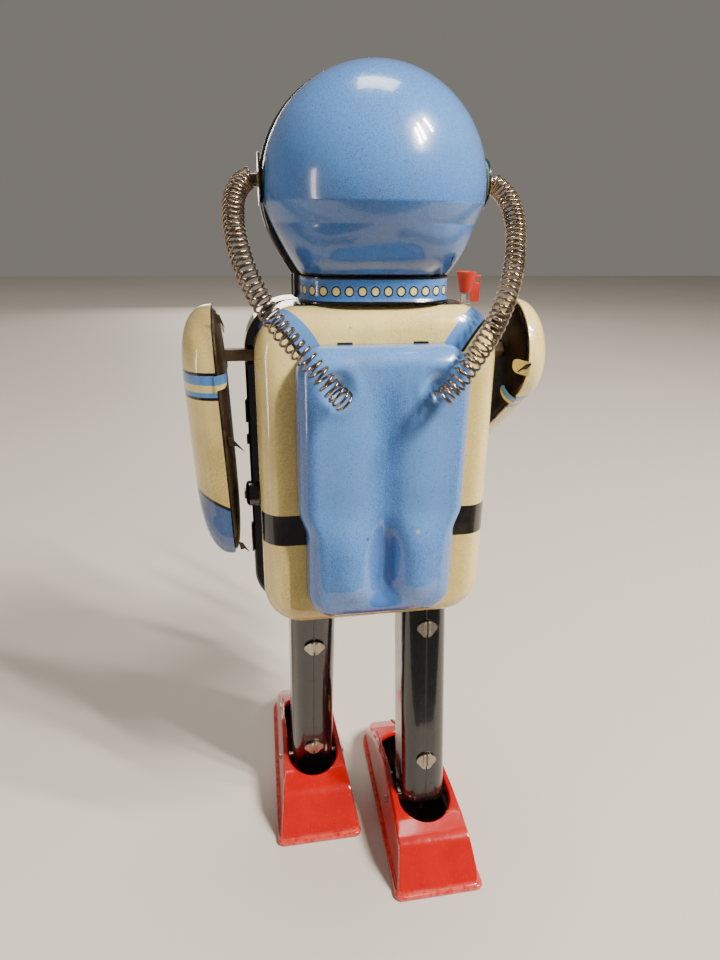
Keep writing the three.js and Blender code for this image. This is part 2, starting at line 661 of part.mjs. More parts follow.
// A rounded plan outline of the foot at height z, drawn in by 'inset'.
function footPlan(z, inset) {
  const heelHalf = footHalfWidth - inset;
  const toeHalf = footHalfWidth - toeNarrowing - inset;
  const rear = -inset;
  const front = -footLength + inset;
  const points = [];
  const corner = (cx, cy, r, from, steps) => {
    for (let i = 0; i <= steps; i++) {
      const t = THREE.MathUtils.degToRad(from + 90 * (i / steps));
      points.push(new THREE.Vector3(cx + r * Math.cos(t), cy + r * Math.sin(t), z));
    }
  };
  corner(heelHalf - heelCorner, rear - heelCorner, heelCorner, 0, 3);
  corner(-heelHalf + heelCorner, rear - heelCorner, heelCorner, 90, 3);
  corner(-toeHalf + toeCorner, front + toeCorner, toeCorner, 180, 5);
  corner(toeHalf - toeCorner, front + toeCorner, toeCorner, 270, 5);
  return points;
}

function footBlock(inset) {
  const side = new THREE.Shape();
  footProfile.forEach(([forward, height], i) => {
    const v = Math.min(Math.max(forward, inset * 1.6), footLength - inset * 1.6);
    const z = i === 0 || i === footProfile.length - 1 ? -inset * 2 : height - inset;
    if (i) side.lineTo(-v, z);
    else side.moveTo(-v, z);
  });
  const prism = solid(sliceX(side, -20, 20));
  const plan = loft([footPlan(-3, inset), footPlan(1.5, inset), footPlan(2.3, inset + 0.9),
    footPlan(20, inset + 3.2)]);
  return prism.intersect(solid(plan));
}

function footShell() {
  const hole = new THREE.Shape();
  const r = footHoleHalfWidth;
  hole.absarc(0, -footHoleRear - r, r, 0, Math.PI, false);
  hole.absarc(0, -footHoleFront + r, r, Math.PI, Math.PI * 2, false);
  hole.closePath();
  const cutter = new THREE.ExtrudeGeometry(hole, { depth: 30, bevelEnabled: false, curveSegments: 7 });
  const ankle = solid(barX(1.25, -30, 30, -footHeelBehindAnkle, ankleAboveFloor, 12));
  return footBlock(0).subtract(footBlock(tin)).subtract(solid(cutter.translate(0, 0, 4))).subtract(ankle);
}

function footSole() {
  const outline = new THREE.Shape();
  footPlan(0, 2.4).forEach((p, i) => (i ? outline.lineTo(p.x, p.y) : outline.moveTo(p.x, p.y)));
  const plate = new THREE.ExtrudeGeometry(outline, { depth: 0.7, bevelEnabled: false }).translate(0, 0, 0.6);
  const rollerWindow = boxBetween([-4, rollerAt - 5.5, 0], [4, rollerAt + 5.5, 3]);
  const cheeks = [-1, 1].map((side) => {
    const cheek = solid(boxBetween([side > 0 ? 4.2 : -5, rollerAt - 3, 0.9], [side > 0 ? 5 : -4.2, rollerAt + 3, 7]));
    return cheek.subtract(solid(barX(0.9, -8, 8, rollerAt, rollerZ)));
  });
  return solid(plate).subtract(solid(rollerWindow)).add(cheeks[0]).add(cheeks[1]);
}

// A one-way roller with a fine saw-toothed rim.
function footRoller() {
  const shape = new THREE.Shape();
  const teeth = 14;
  for (let i = 0; i < teeth; i++) {
    const t = (i / teeth) * Math.PI * 2;
    const next = t + (0.85 / teeth) * Math.PI * 2;
    if (i) shape.lineTo(4.0 * Math.cos(t), 4.0 * Math.sin(t));
    else shape.moveTo(4.0, 0);
    shape.lineTo(4.5 * Math.cos(next), 4.5 * Math.sin(next));
  }
  shape.closePath();
  return solid(sliceX(shape, -3.4, 3.4)).subtract(solid(barX(0.95, -5, 5, 0, 0, 12)));
}

function leg(side, name) {
  const lean = side * legSwing;             // left leg swung forward, right leg back
  const lift = side > 0 ? -legLift : legLift;
  const group = new THREE.Group();
  group.position.set(side * legX, hipY, hipZ);
  group.rotation.x = -lean;
  const bush = solid(barX(2.5, -1.6, 1.6, 0, 0)).subtract(solid(barX(1.6, -3, 3, 0, 0)));
  group.add(piece(`${name}_guide_bush`, bush, brass));
  const lifted = new THREE.Group();
  lifted.position.z = lift;
  lifted.add(piece(`${name}_leg_tube`, legTube(), blackTin), piece(`${name}_leg_strut`, legStrut(), plateSteel));
  group.add(lifted);
  const pin = barX(1.05, -footHalfWidth + 2.2, footHalfWidth - 2.2, 0, -ankleDrop, 12);
  group.add(piece(`${name}_ankle_pin`, pin, plateSteel));

  const foot = new THREE.Group();
  const ankleY = hipY - Math.sin(lean) * ankleDrop;
  foot.position.set(side * legX, ankleY + footHeelBehindAnkle, 0);
  foot.add(piece(`${name}_foot_shell`, footShell(), redTin));
  foot.add(piece(`${name}_foot_sole_plate`, footSole(), plateSteel));
  const roller = piece(`${name}_foot_roller`, footRoller(), brass);
  roller.position.set(0, rollerAt, rollerZ);
  foot.add(roller);
  foot.add(piece(`${name}_roller_axle`, barX(0.6, -5.6, 5.6, rollerAt, rollerZ, 10), plateSteel));
  const both = new THREE.Group();
  both.add(group, foot);
  return both;
}

// ---------------------------------------------------------------- clockwork motor
// The wheels' places across the motor, as [from, to] in X.
const lane = { great: [-7.1, -6.1], spring: [-5.3, 0.6], second: [1.8, 2.8], star: [3.8, 4.5], crank: [5.4, 6.4] };
const teeth = { great: 32, crank: 30, second: 24, pinion: 8 };
const wider = ([from, to]) => [from - 0.3, to + 0.4];

// A spur gear's outline about the origin, with a little backlash; 'turn' puts it in mesh.
function gearOutline(teeth, turn = 0) {
  const pitch = (teeth * gearModule) / 2;
  const shape = new THREE.Shape();
  const [root, tip] = [{ height: -1.25, half: 0.88 }, { height: 0.85, half: 0.3 }];   // in modules
  for (let i = 0; i < teeth; i++) {
    const middle = turn + (i / teeth) * Math.PI * 2;
    const corners = [[root.height, -root.half], [tip.height, -tip.half], [tip.height, tip.half],
      [root.height, root.half]];
    corners.forEach(([height, across], k) => {
      const radius = pitch + height * gearModule;
      const t = middle + (across * gearModule) / pitch;
      const [x, y] = [radius * Math.cos(t), radius * Math.sin(t)];
      if (i || k) shape.lineTo(x, y);
      else shape.moveTo(x, y);
    });
  }
  shape.closePath();
  return shape;
}

// A gear wheel on the arbor at [y, z], between two X planes.
function gearAt([y, z], teeth, x0, x1, turn = 0) {
  return solid(sliceX(gearOutline(teeth, turn), x0, x1).translate(0, y, z));
}

// Angle about +X, in the Y-Z plane, from one arbor to another.
const bearing = (from, to) => Math.atan2(to[1] - from[1], to[0] - from[0]);

// The turn that puts a pinion's gap on the line of centres where the wheel has a tooth.
const meshTurn = (from, to, teeth) => bearing(from, to) + Math.PI + Math.PI / teeth;

function motorPlate(x0, x1) {
  const outline = new THREE.Shape();
  outline.moveTo(-35, 91);
  [[-9, 89], [-5.5, 93], [-5.5, 124], [-9, 131], [-31, 131], [-35, 127]].forEach((p) => outline.lineTo(...p));
  outline.closePath();
  let plate = solid(sliceX(outline, x0, x1));
  const holes = [[crankAt, 1.6], [windAt, 1.7], [secondAt, 1.1], [governorAt, 1.1], [palletAt, 1.1],
    [[hipY, hipZ], 1.55], ...pillarAt.map((p) => [p, 1.55])];
  for (const [[y, z], radius] of holes) {
    plate = plate.subtract(solid(barX(radius + 0.2, x0 - 1, x1 + 1, y, z, 10)));
  }
  return plate;
}

function motor() {
  const group = new THREE.Group();
  const outerX = motorX + plateThickness;
  group.add(piece('motor_plate_left', motorPlate(motorX, outerX), plateSteel));
  group.add(piece('motor_plate_right', motorPlate(-outerX, -motorX), plateSteel));
  pillarAt.forEach(([y, z], i) => {
    const pillar = solid(barX(2, -motorX + gap, motorX - gap, y, z, 10)).add(solid(barX(1.35, -outerX - 0.7,
      outerX + 0.7, y, z, 10)));
    group.add(piece(`motor_pillar_${i + 1}`, pillar, plateSteel));
  });
  group.add(piece('hip_guide_pin', barX(1.4, -legX - 3, legX + 3, hipY, hipZ, 14), plateSteel));

  // Winding arbor: great wheel, drum and the square that takes a key on the left side.
  const turnWind = bearing(windAt, crankAt);
  const square = boxBetween([30.5, windAt[0] - 1.2, windAt[1] - 1.2],
    [windSquareEnd, windAt[0] + 1.2, windAt[1] + 1.2]);
  const great = gearAt(windAt, teeth.great, ...lane.great, turnWind)
    .add(solid(barX(arborRadius, -outerX - 0.8, 31, ...windAt)))
    .add(solid(barX(2.6, lane.great[1] - 0.2, lane.spring[1] + 0.4, ...windAt)))
    .add(solid(square));
  group.add(piece('great_wheel', great, brass));
  group.add(piece('mainspring', mainspring(), plateSteel));

  // Crankshaft: pinion, crank wheel, and a disc with a crank pin at each end.
  const phase = Math.atan2(-legLift * Math.cos(legSwing), crankDrop * Math.sin(legSwing));
  let shaft = solid(barX(arborRadius, -15, 15, ...crankAt))
    .add(gearAt(crankAt, teeth.pinion, ...wider(lane.great), meshTurn(crankAt, windAt, teeth.pinion)))
    .add(gearAt(crankAt, teeth.crank, ...lane.crank, bearing(crankAt, secondAt)));
  for (const side of [1, -1]) {
    const y = crankAt[0] + side * crankThrow * Math.cos(phase);
    const z = crankAt[1] + side * crankThrow * Math.sin(phase);
    const inner = side * 12.4;
    const discEnd = side * 13.8;
    const pinEnd = side * (legX - strutThickness / 2 - gap);
    shaft = shaft.add(solid(barX(4.6, Math.min(inner, discEnd), Math.max(inner, discEnd), ...crankAt, 20)))
      .add(solid(barX(1.1, Math.min(inner, pinEnd), Math.max(inner, pinEnd), y, z, 10)));
  }
  group.add(piece('crankshaft', shaft, plateSteel));

  const second = solid(barX(1, -outerX - 0.6, outerX + 0.6, ...secondAt, 12))
    .add(gearAt(secondAt, teeth.pinion, ...wider(lane.crank), meshTurn(secondAt, crankAt, teeth.pinion)))
    .add(gearAt(secondAt, teeth.second, ...lane.second, bearing(secondAt, governorAt)));
  group.add(piece('second_wheel', second, brass));
  const governor = solid(barX(1, -outerX - 0.6, outerX + 0.6, ...governorAt, 12))
    .add(gearAt(governorAt, teeth.pinion, ...wider(lane.second), meshTurn(governorAt, secondAt, teeth.pinion)))
    .add(solid(sliceX(starOutline(), ...lane.star).translate(0, ...governorAt)));
  group.add(piece('governor_wheel', governor, brass));
  group.add(piece('governor_pallet', pallet(), plateSteel));
  group.add(piece('winding_boss', solid(barX(3.8, bodyHalfWidth + seamLap + gap, windBossEnd, ...windAt, 20))
    .subtract(solid(barX(2, 28, 38, ...windAt))), blackTin));
  group.add(piece('stop_lever', stopLever(), plateSteel));
  return group;
}

// The spiral strip of the mainspring, wound between its drum and its outer coil.
function mainspring() {
  const coil = new THREE.Shape();
  const turns = 4.5;
  const steps = 54;
  const radius = (t) => 3.3 + t * 5.6;
  for (const outside of [0, 1]) {
    for (let i = 0; i <= steps; i++) {
      const t = outside ? 1 - i / steps : i / steps;
      const angle = t * turns * Math.PI * 2;
      const r = radius(t) + (outside ? 0.45 : 0);
      const [y, z] = [windAt[0] + r * Math.cos(angle), windAt[1] + r * Math.sin(angle)];
      if (outside || i) coil.lineTo(y, z);
      else coil.moveTo(y, z);
    }
  }
  coil.closePath();
  return solid(sliceX(coil, ...lane.spring));
}

function starOutline() {
  const shape = new THREE.Shape();
  const points = 9;
  for (let i = 0; i < points; i++) {
    const t = (i / points) * Math.PI * 2;
    const dip = t + Math.PI / points;
    if (i) shape.lineTo(4.4 * Math.cos(t), 4.4 * Math.sin(t));
    else shape.moveTo(4.4, 0);
    shape.lineTo(2.4 * Math.cos(dip), 2.4 * Math.sin(dip));
  }
  shape.closePath();
  return shape;
}

// The rocking pallet: a short arbor with two fingers astride the governor wheel.
function pallet() {
  const [y, z] = palletAt;
  const shape = new THREE.Shape();
  [[-5.8, -6.6], [-5.1, -6.6], [-4.6, -1.2], [4.6, -1.2], [5.1, -6.6], [5.8, -6.6], [5.2, 1.4], [-5.2, 1.4]]
    .forEach(([a, b], i) => (i ? shape.lineTo(y + a, z + b) : shape.moveTo(y + a, z + b)));
  shape.closePath();
  return solid(sliceX(shape, ...lane.star)).add(solid(barX(1, lane.spring[1] + 0.6, motorX + 1.6, y, z, 12)));
}

// The start and stop lever: a thin bar through the right side of the body.
function stopLever() {
  return solid(boxBetween([-34, -29.5, 123.2], [-12, -27.5, 124.2]))
    .add(solid(boxBetween([-35.6, -30.5, 121.6], [-33.8, -26.5, 125.8])));
}

// ---------------------------------------------------------------- assembly
const robot = new THREE.Group();
robot.add(helmet(), neckRing(), body(), backpack(), hose(1, 'left'), hose(-1, 'right'));
robot.add(arm(1, 'left'), arm(-1, 'right'), leg(1, 'left'), leg(-1, 'right'), motor());

const bounds = new THREE.Box3().setFromObject(robot, true);
const middle = bounds.getCenter(new THREE.Vector3());
robot.position.set(-middle.x, -middle.y, -bounds.min.z);

const part = new THREE.Group();
part.add(robot);
export default part;
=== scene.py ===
"""The looks of a tin wind-up robot: lithographed astronaut with a clockwork walking motor.

Shapes are worked out in millimetres in the maker's frame, where y = 0 is the flat back of
the body, the robot faces -Y, +X is its own left and z = 0 is the floor.
"""

import json
import math

import bmesh
import bpy
import numpy as np
from mathutils import Matrix, Vector


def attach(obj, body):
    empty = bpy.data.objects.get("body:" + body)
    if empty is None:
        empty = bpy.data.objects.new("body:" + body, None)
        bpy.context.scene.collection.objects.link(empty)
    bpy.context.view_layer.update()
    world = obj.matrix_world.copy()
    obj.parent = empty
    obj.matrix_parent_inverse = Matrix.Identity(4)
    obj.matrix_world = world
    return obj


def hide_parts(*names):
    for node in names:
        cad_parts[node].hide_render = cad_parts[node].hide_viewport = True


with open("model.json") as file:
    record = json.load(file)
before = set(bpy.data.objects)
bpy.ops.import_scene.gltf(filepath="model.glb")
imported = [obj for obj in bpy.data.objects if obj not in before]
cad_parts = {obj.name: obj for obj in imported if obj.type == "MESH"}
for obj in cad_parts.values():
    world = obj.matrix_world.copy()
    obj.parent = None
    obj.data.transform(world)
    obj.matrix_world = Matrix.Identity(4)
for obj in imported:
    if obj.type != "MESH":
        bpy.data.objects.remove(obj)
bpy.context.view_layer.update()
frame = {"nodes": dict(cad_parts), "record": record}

MM = 0.001
BACK_Y = 26.05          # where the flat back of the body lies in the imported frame
TIN = 0.45              # wall of the pressed sheet

# body
BODY_HALF = 30.9
BODY_DEPTH = 38.0
BODY_LOW = 82.7
BODY_TOP = 170.4
BODY_ROUND = 6.5
SEAM_Y = -19.0
SEAM_LAP = 2.3          # how much wider the front half stands than the rear half
BELT_LOW, BELT_HIGH = 109.0, 117.6
WINDING_Y, WINDING_Z = -20.0, 116.758

# helmet and neck
NECK_TOP = 177.3
NECK_HALF = 18.7
NECK_REAR, NECK_FRONT = -2.5, -31.0
NECK_Y = (NECK_REAR + NECK_FRONT) / 2
NECK_DEEP = (NECK_REAR - NECK_FRONT) / 2
NECK_POWER = 3.4        # how boxy the neck is; 2 would be an ellipse
NECK_LOW = 171.6
NECK_DOTS = 36
HEAD_R = 27.2
HEAD_Y = -15.3
HEAD_Z = 196.8
HEAD_LOW = -0.12        # where the ball hands over to the neck, as a share of its radius
HELMET_SEAM = -18.0
VISOR = (17.5, 14.5)    # half width and half height of the window
VISOR_Z = 197.0
EAR_Z = 198.4

# backpack
PACK_UPPER, PACK_LOWER = 21.6, 19.6
PACK_TOP, PACK_LOW = 161.8, 89.0
PACK_STEP = 115.0       # the tanks begin here and the outline draws in
PACK_EDGE = 2.6         # depth of the straight wall before the edge turns
TANK_X, TANK_HALF = 9.2, 6.2

# arms, legs and feet
SHAFT_Y, SHAFT_Z = -20.0, 156.3
SHAFT_HALF = 1.8
ARM_X = 40.6
ARM_TOP, ARM_TIP = 13.0, -57.0
ARM_RAISE = math.radians(47)
ARM_LEAN = math.radians(2.2)
LEG_X = 16.7
HIP_Y, HIP_Z = -17.6, 93.0
LEG_SWING = math.radians(8.56)
LEG_LIFT = 2.46
TAB_DROPS = (21.3, 66.1)
ANKLE_DROP = 82 / math.cos(LEG_SWING)
FOOT_LONG = 73.9
FOOT_HALF = 13.7
HEEL_BEHIND = 28.5

# height of a foot's top at distances forward of the heel
FORWARD = [0, 1.4, 8.2, 9.0, 10.4, 16, 24, 40, 52, 62, 69, 72.5, 73.3, 73.9]
HEIGHT = [0.6, 2.0, 12.0, 12.8, 13.5, 15.4, 16.9, 16.9, 14.5, 10.9, 7.4, 4.4, 2.0, 1.0]

# the middle line of the left hose, from the ear disc to the pack
HOSE_ROUTE = [
    (29.3, -15.3, 198.4), (30.5, -15.3, 198.4), (33.2, -12.4, 195.4), (34.2, -8, 190),
    (33.2, -3.4, 182.6), (30.6, 1.6, 175.4), (25.4, 7.6, 167.2), (19, 12.4, 160),
    (13.8, 14.2, 153.8), (11.4, 13.7, 151),
]
COIL_RADIUS, WIRE_RADIUS = 2.33, 0.33


# ---------------------------------------------------------------- mesh helpers
def smooth(t):
    """0 to 1 with a soft start and end."""
    t = np.clip(t, 0, 1)
    return t * t * (3 - 2 * t)


def soft_min(a, b, reach):
    """The lower of two heights, rounded where they cross."""
    h = np.clip(0.5 + 0.5 * (b - a) / reach, 0, 1)
    return b * (1 - h) + a * h - reach * h * (1 - h)


def superellipse(half_x, half_y, centre_y, z, power, count):
    """A closed ring at height z, as points."""
    t = np.linspace(0, 2 * math.pi, count, endpoint=False)
    c, s = np.cos(t), np.sin(t)
    x = half_x * np.sign(c) * np.abs(c) ** (2 / power)
    y = centre_y + half_y * np.sign(s) * np.abs(s) ** (2 / power)
    return np.column_stack([x, y, np.full(count, z)])


def evenly(ring, count):
    """The same closed ring as count points, evenly spaced from its first point."""
    closed = np.vstack([ring, ring[:1]])
    run = np.r_[0, np.cumsum(np.linalg.norm(np.diff(closed, axis=0), axis=1))]
    at = np.linspace(0, run[-1], count, endpoint=False)
    return np.column_stack([np.interp(at, run, closed[:, k]) for k in range(closed.shape[1])])


def corner(cx, cy, rx, ry, start, end, steps):
    """Points on an elliptical arc, from angle start to end in degrees."""
    t = np.radians(np.linspace(start, end, steps))
    return np.column_stack([cx + rx * np.cos(t), cy + ry * np.sin(t)])


def skin(rings, closed=True, first_cap=False, last_cap=False, loop=False):
    """(points, faces) over rings of equal point count."""
    count = len(rings[0])
    points = np.vstack(rings)
    faces = []
    total = len(rings)
    around = count if closed else count - 1
    for r in range(total if loop else total - 1):
        for i in range(around):
            a, b = r * count + i, r * count + (i + 1) % count
            up = (r + 1) % total * count
            faces.append((a, b, up + (i + 1) % count, up + i))
    if first_cap:
        faces.append(tuple(range(count))[::-1])
    if last_cap:
        faces.append(tuple(range((total - 1) * count, total * count)))
    return points, faces


def turned(profile, count=64, axis="Z"):
    """(points, faces) of (radius, height) pairs spun about an axis."""
    t = np.linspace(0, 2 * math.pi, count, endpoint=False)
    rings = []
    for radius, height in profile:
        radius = max(radius, 1e-4)
        u, v, w = radius * np.cos(t), radius * np.sin(t), np.full(count, float(height))
        rings.append(np.column_stack({"Z": [u, v, w], "X": [w, u, v], "Y": [v, w, u]}[axis]))
    return skin(rings)


def together(*parts):
    """Several (points, faces) as one."""
    points, faces, base = [], [], 0
    for p, f in parts:
        points.append(p)
        faces += [tuple(i + base for i in face) for face in f]
        base += len(p)
    return np.vstack(points), faces


def moved(part, matrix):
    """(points, faces) carried by a 4x4 matrix in millimetres."""
    p, f = part
    m = np.array(matrix)
    return p @ m[:3, :3].T + m[:3, 3], f


def block(low, high):
    """(points, faces) of a plain box, for cutting."""
    (x0, y0, z0), (x1, y1, z1) = low, high
    p = np.array([(x, y, z) for z in (z0, z1) for y in (y0, y1) for x in (x0, x1)], float)
    return p, [(0, 2, 3, 1), (4, 5, 7, 6), (0, 1, 5, 4), (2, 6, 7, 3), (0, 4, 6, 2), (1, 3, 7, 5)]


def bar(radius, start, end, y, z, count=48):
    """(points, faces) of a closed round bar along X."""
    t = np.linspace(0, 2 * math.pi, count, endpoint=False)
    rings = [np.column_stack([np.full(count, x), y + radius * np.cos(t), z + radius * np.sin(t)])
             for x in (start, end)]
    return skin(rings, first_cap=True, last_cap=True)


def swept(path, radius, count):
    """(points, faces) of a round wire along a path, with its ends closed to a dome."""
    path = np.asarray(path, float)
    along = np.gradient(path, axis=0)
    along /= np.linalg.norm(along, axis=1)[:, None]
    side = np.cross(along[0], (0.3, 0.5, 0.81))
    t = np.linspace(0, 2 * math.pi, count, endpoint=False)
    rings = []
    for p, tangent in zip(path, along):
        side = side - tangent * (side @ tangent)
        side /= np.linalg.norm(side)
        up = np.cross(tangent, side)
        rings.append(p + radius * (np.cos(t)[:, None] * side + np.sin(t)[:, None] * up))
    for end, sign in ((0, -1), (-1, 1)):
        middle = path[end] + along[end] * sign * radius * 0.5
        dome = middle + (rings[end] - path[end]) * 0.5
        rings.insert(0 if end == 0 else len(rings), dome)
    return skin(rings, first_cap=True, last_cap=True)


def build(name, part, sharp=35, wall=0.0, cuts=(), clean=0.0, even=True):
    """A mesh object from (points, faces) in millimetres, with an optional sheet wall and cuts.

    A positive wall thickens inwards. 'clean' welds points that lie closer than that, and
    'even' keeps the wall's thickness at sharp turns.
    """
    points, faces = part
    mesh = bpy.data.meshes.new(name)
    shifted = (points + np.array([0, BACK_Y, 0])) * MM
    mesh.from_pydata(shifted.tolist(), [], faces)
    obj = bpy.data.objects.new(name, mesh)
    bpy.context.scene.collection.objects.link(obj)
    work = bmesh.new()
    work.from_mesh(mesh)
    bmesh.ops.remove_doubles(work, verts=work.verts, dist=max(clean, 0.004) * MM)
    bmesh.ops.recalc_face_normals(work, faces=work.faces)
    work.to_mesh(mesh)
    work.free()
    if wall:
        sheet = obj.modifiers.new("wall", "SOLIDIFY")
        sheet.thickness = abs(wall) * MM
        sheet.offset = -1 if wall > 0 else 1
        sheet.use_even_offset = even
    cutters = []
    for i, cut in enumerate(cuts):
        cutter = build(f"{name}_cutter_{i}", cut)
        knife = obj.modifiers.new(f"cut_{i}", "BOOLEAN")
        knife.object = cutter
        knife.operation = "DIFFERENCE"
        knife.solver = "EXACT"
        cutters.append(cutter)
    if obj.modifiers:
        graph = bpy.context.evaluated_depsgraph_get()
        obj.data = bpy.data.meshes.new_from_object(obj.evaluated_get(graph))
        obj.modifiers.clear()
    for cutter in cutters:
        bpy.data.objects.remove(cutter)
    obj.data.shade_smooth()
    obj.data.set_sharp_from_angle(angle=math.radians(sharp))
    return obj


def soften(obj, width):
    """Rounds the edges of a piece and keeps the result."""
    rounding = obj.modifiers.new("rounding", "BEVEL")
    rounding.width = width * MM
    rounding.segments = 3
    rounding.limit_method = "ANGLE"
    graph = bpy.context.evaluated_depsgraph_get()
    obj.data = bpy.data.meshes.new_from_object(obj.evaluated_get(graph))
    obj.modifiers.clear()
    obj.data.shade_smooth()
    obj.data.set_sharp_from_angle(angle=math.radians(50))


def curve_through(points, count):
    """A smooth centripetal curve through points."""
    p = np.array(points, float)
    p = np.vstack([2 * p[0] - p[1], p, 2 * p[-1] - p[-2]])
    out = []
    for i in range(1, len(p) - 2):
        knots = [0.0]
        for a, b in zip(p[i - 1:i + 2], p[i:i + 3]):
            knots.append(knots[-1] + np.linalg.norm(b - a) ** 0.5)
        t0, t1, t2, t3 = knots
        for t in np.linspace(t1, t2, count // (len(p) - 3), endpoint=False):
            a1 = (t1 - t) / (t1 - t0) * p[i - 1] + (t - t0) / (t1 - t0) * p[i]
            a2 = (t2 - t) / (t2 - t1) * p[i] + (t - t1) / (t2 - t1) * p[i + 1]
            a3 = (t3 - t) / (t3 - t2) * p[i + 1] + (t - t2) / (t3 - t2) * p[i + 2]
            b1 = (t2 - t) / (t2 - t0) * a1 + (t - t0) / (t2 - t0) * a2
            b2 = (t3 - t) / (t3 - t1) * a2 + (t - t1) / (t3 - t1) * a3
            out.append((t2 - t) / (t2 - t1) * b1 + (t - t1) / (t2 - t1) * b2)
    out.append(p[-2])
    return np.array(out)


def trimmed(part, planes):
    """Part of (points, faces) on the positive side of each (point, normal) plane."""
    points, faces = part
    mesh = bpy.data.meshes.new("trim")
    mesh.from_pydata(points.tolist(), [], faces)
    work = bmesh.new()
    work.from_mesh(mesh)
    for spot, normal in planes:
        everything = work.verts[:] + work.edges[:] + work.faces[:]
        bmesh.ops.bisect_plane(work, geom=everything, plane_co=spot, plane_no=normal,
                               clear_inner=True, dist=1e-5)
    work.to_mesh(mesh)
    work.free()
    kept = np.array([v.co for v in mesh.vertices]).reshape(-1, 3)
    faces = [tuple(p.vertices) for p in mesh.polygons]
    bpy.data.meshes.remove(mesh)
    return kept, faces


def finish_piece(obj, body, slot, material, *nodes):
    """Gives a piece its body, the CAD nodes it stands for and its material; the slot is not used."""
    obj.data.materials.clear()
    obj.data.materials.append(material)
    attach(obj, body)
    if nodes:
        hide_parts(*nodes)
    return obj


# ---------------------------------------------------------------- shader helpers
class Field:
    """A number that varies over a surface, kept as a chain of math nodes."""

    def __init__(self, tree, socket):
        self.tree = tree
        self.socket = socket

    def math(self, operation, *others, clamp=False):
        node = self.tree.nodes.new("ShaderNodeMath")
        node.operation = operation
        node.use_clamp = clamp
        for i, value in enumerate((self, *others)):
            if isinstance(value, Field):
                self.tree.links.new(value.socket, node.inputs[i])
            else:
                node.inputs[i].default_value = value
        return Field(self.tree, node.outputs[0])

    def __add__(self, other):
        return self.math("ADD", other)

    def __sub__(self, other):
        return self.math("SUBTRACT", other)

    def __mul__(self, other):
        return self.math("MULTIPLY", other)

    def __neg__(self):
        return self.math("MULTIPLY", -1.0)

    def size(self):
        return self.math("ABSOLUTE")

    def high(self, other):
        return self.math("MAXIMUM", other)

    def root(self):
        return self.math("SQRT")

    def ramp(self, start, end, soft=True):
        """0 at start and 1 at end, held beyond them."""
        node = self.tree.nodes.new("ShaderNodeMapRange")
        node.interpolation_type = "SMOOTHSTEP" if soft else "LINEAR"
        flip = start > end
        lo, hi = (end, start) if flip else (start, end)
        node.inputs["From Min"].default_value = lo
        node.inputs["From Max"].default_value = hi
        node.inputs["To Min"].default_value = 1.0 if flip else 0.0
        node.inputs["To Max"].default_value = 0.0 if flip else 1.0
        self.tree.links.new(self.socket, node.inputs["Value"])
        return Field(self.tree, node.outputs["Result"])

    def above(self, level, edge=0.06):
        return self.ramp(level - edge, level + edge)

    def below(self, level, edge=0.06):
        return self.ramp(level + edge, level - edge)

    def between(self, low, high, edge=0.06):
        return self.above(low, edge) * self.below(high, edge)


def away(a, b):
    """Distance from the origin of two coordinates."""
    return (a * a + b * b).root()


def ring_of(paint, x, z, inner, outer):
    """1 between two radii of a spot on the front."""
    return away(paint.x - x, paint.z - z).between(inner, outer)


def disc_of(paint, x, z, radius):
    """1 within a radius of a spot on the front."""
    return ring_of(paint, x, z, -1, radius)


def box_of(paint, x0, x1, z0, z1):
    """1 inside a box on the front."""
    return paint.x.between(x0, x1) * paint.z.between(z0, z1)


def linear(red, green, blue):
    """An sRGB colour, 0 to 255, as the linear RGBA that a shader takes."""
    out = []
    for value in (red, green, blue):
        v = value / 255
        out.append(v / 12.92 if v <= 0.04045 else ((v + 0.055) / 1.055) ** 2.4)
    return (*out, 1.0)


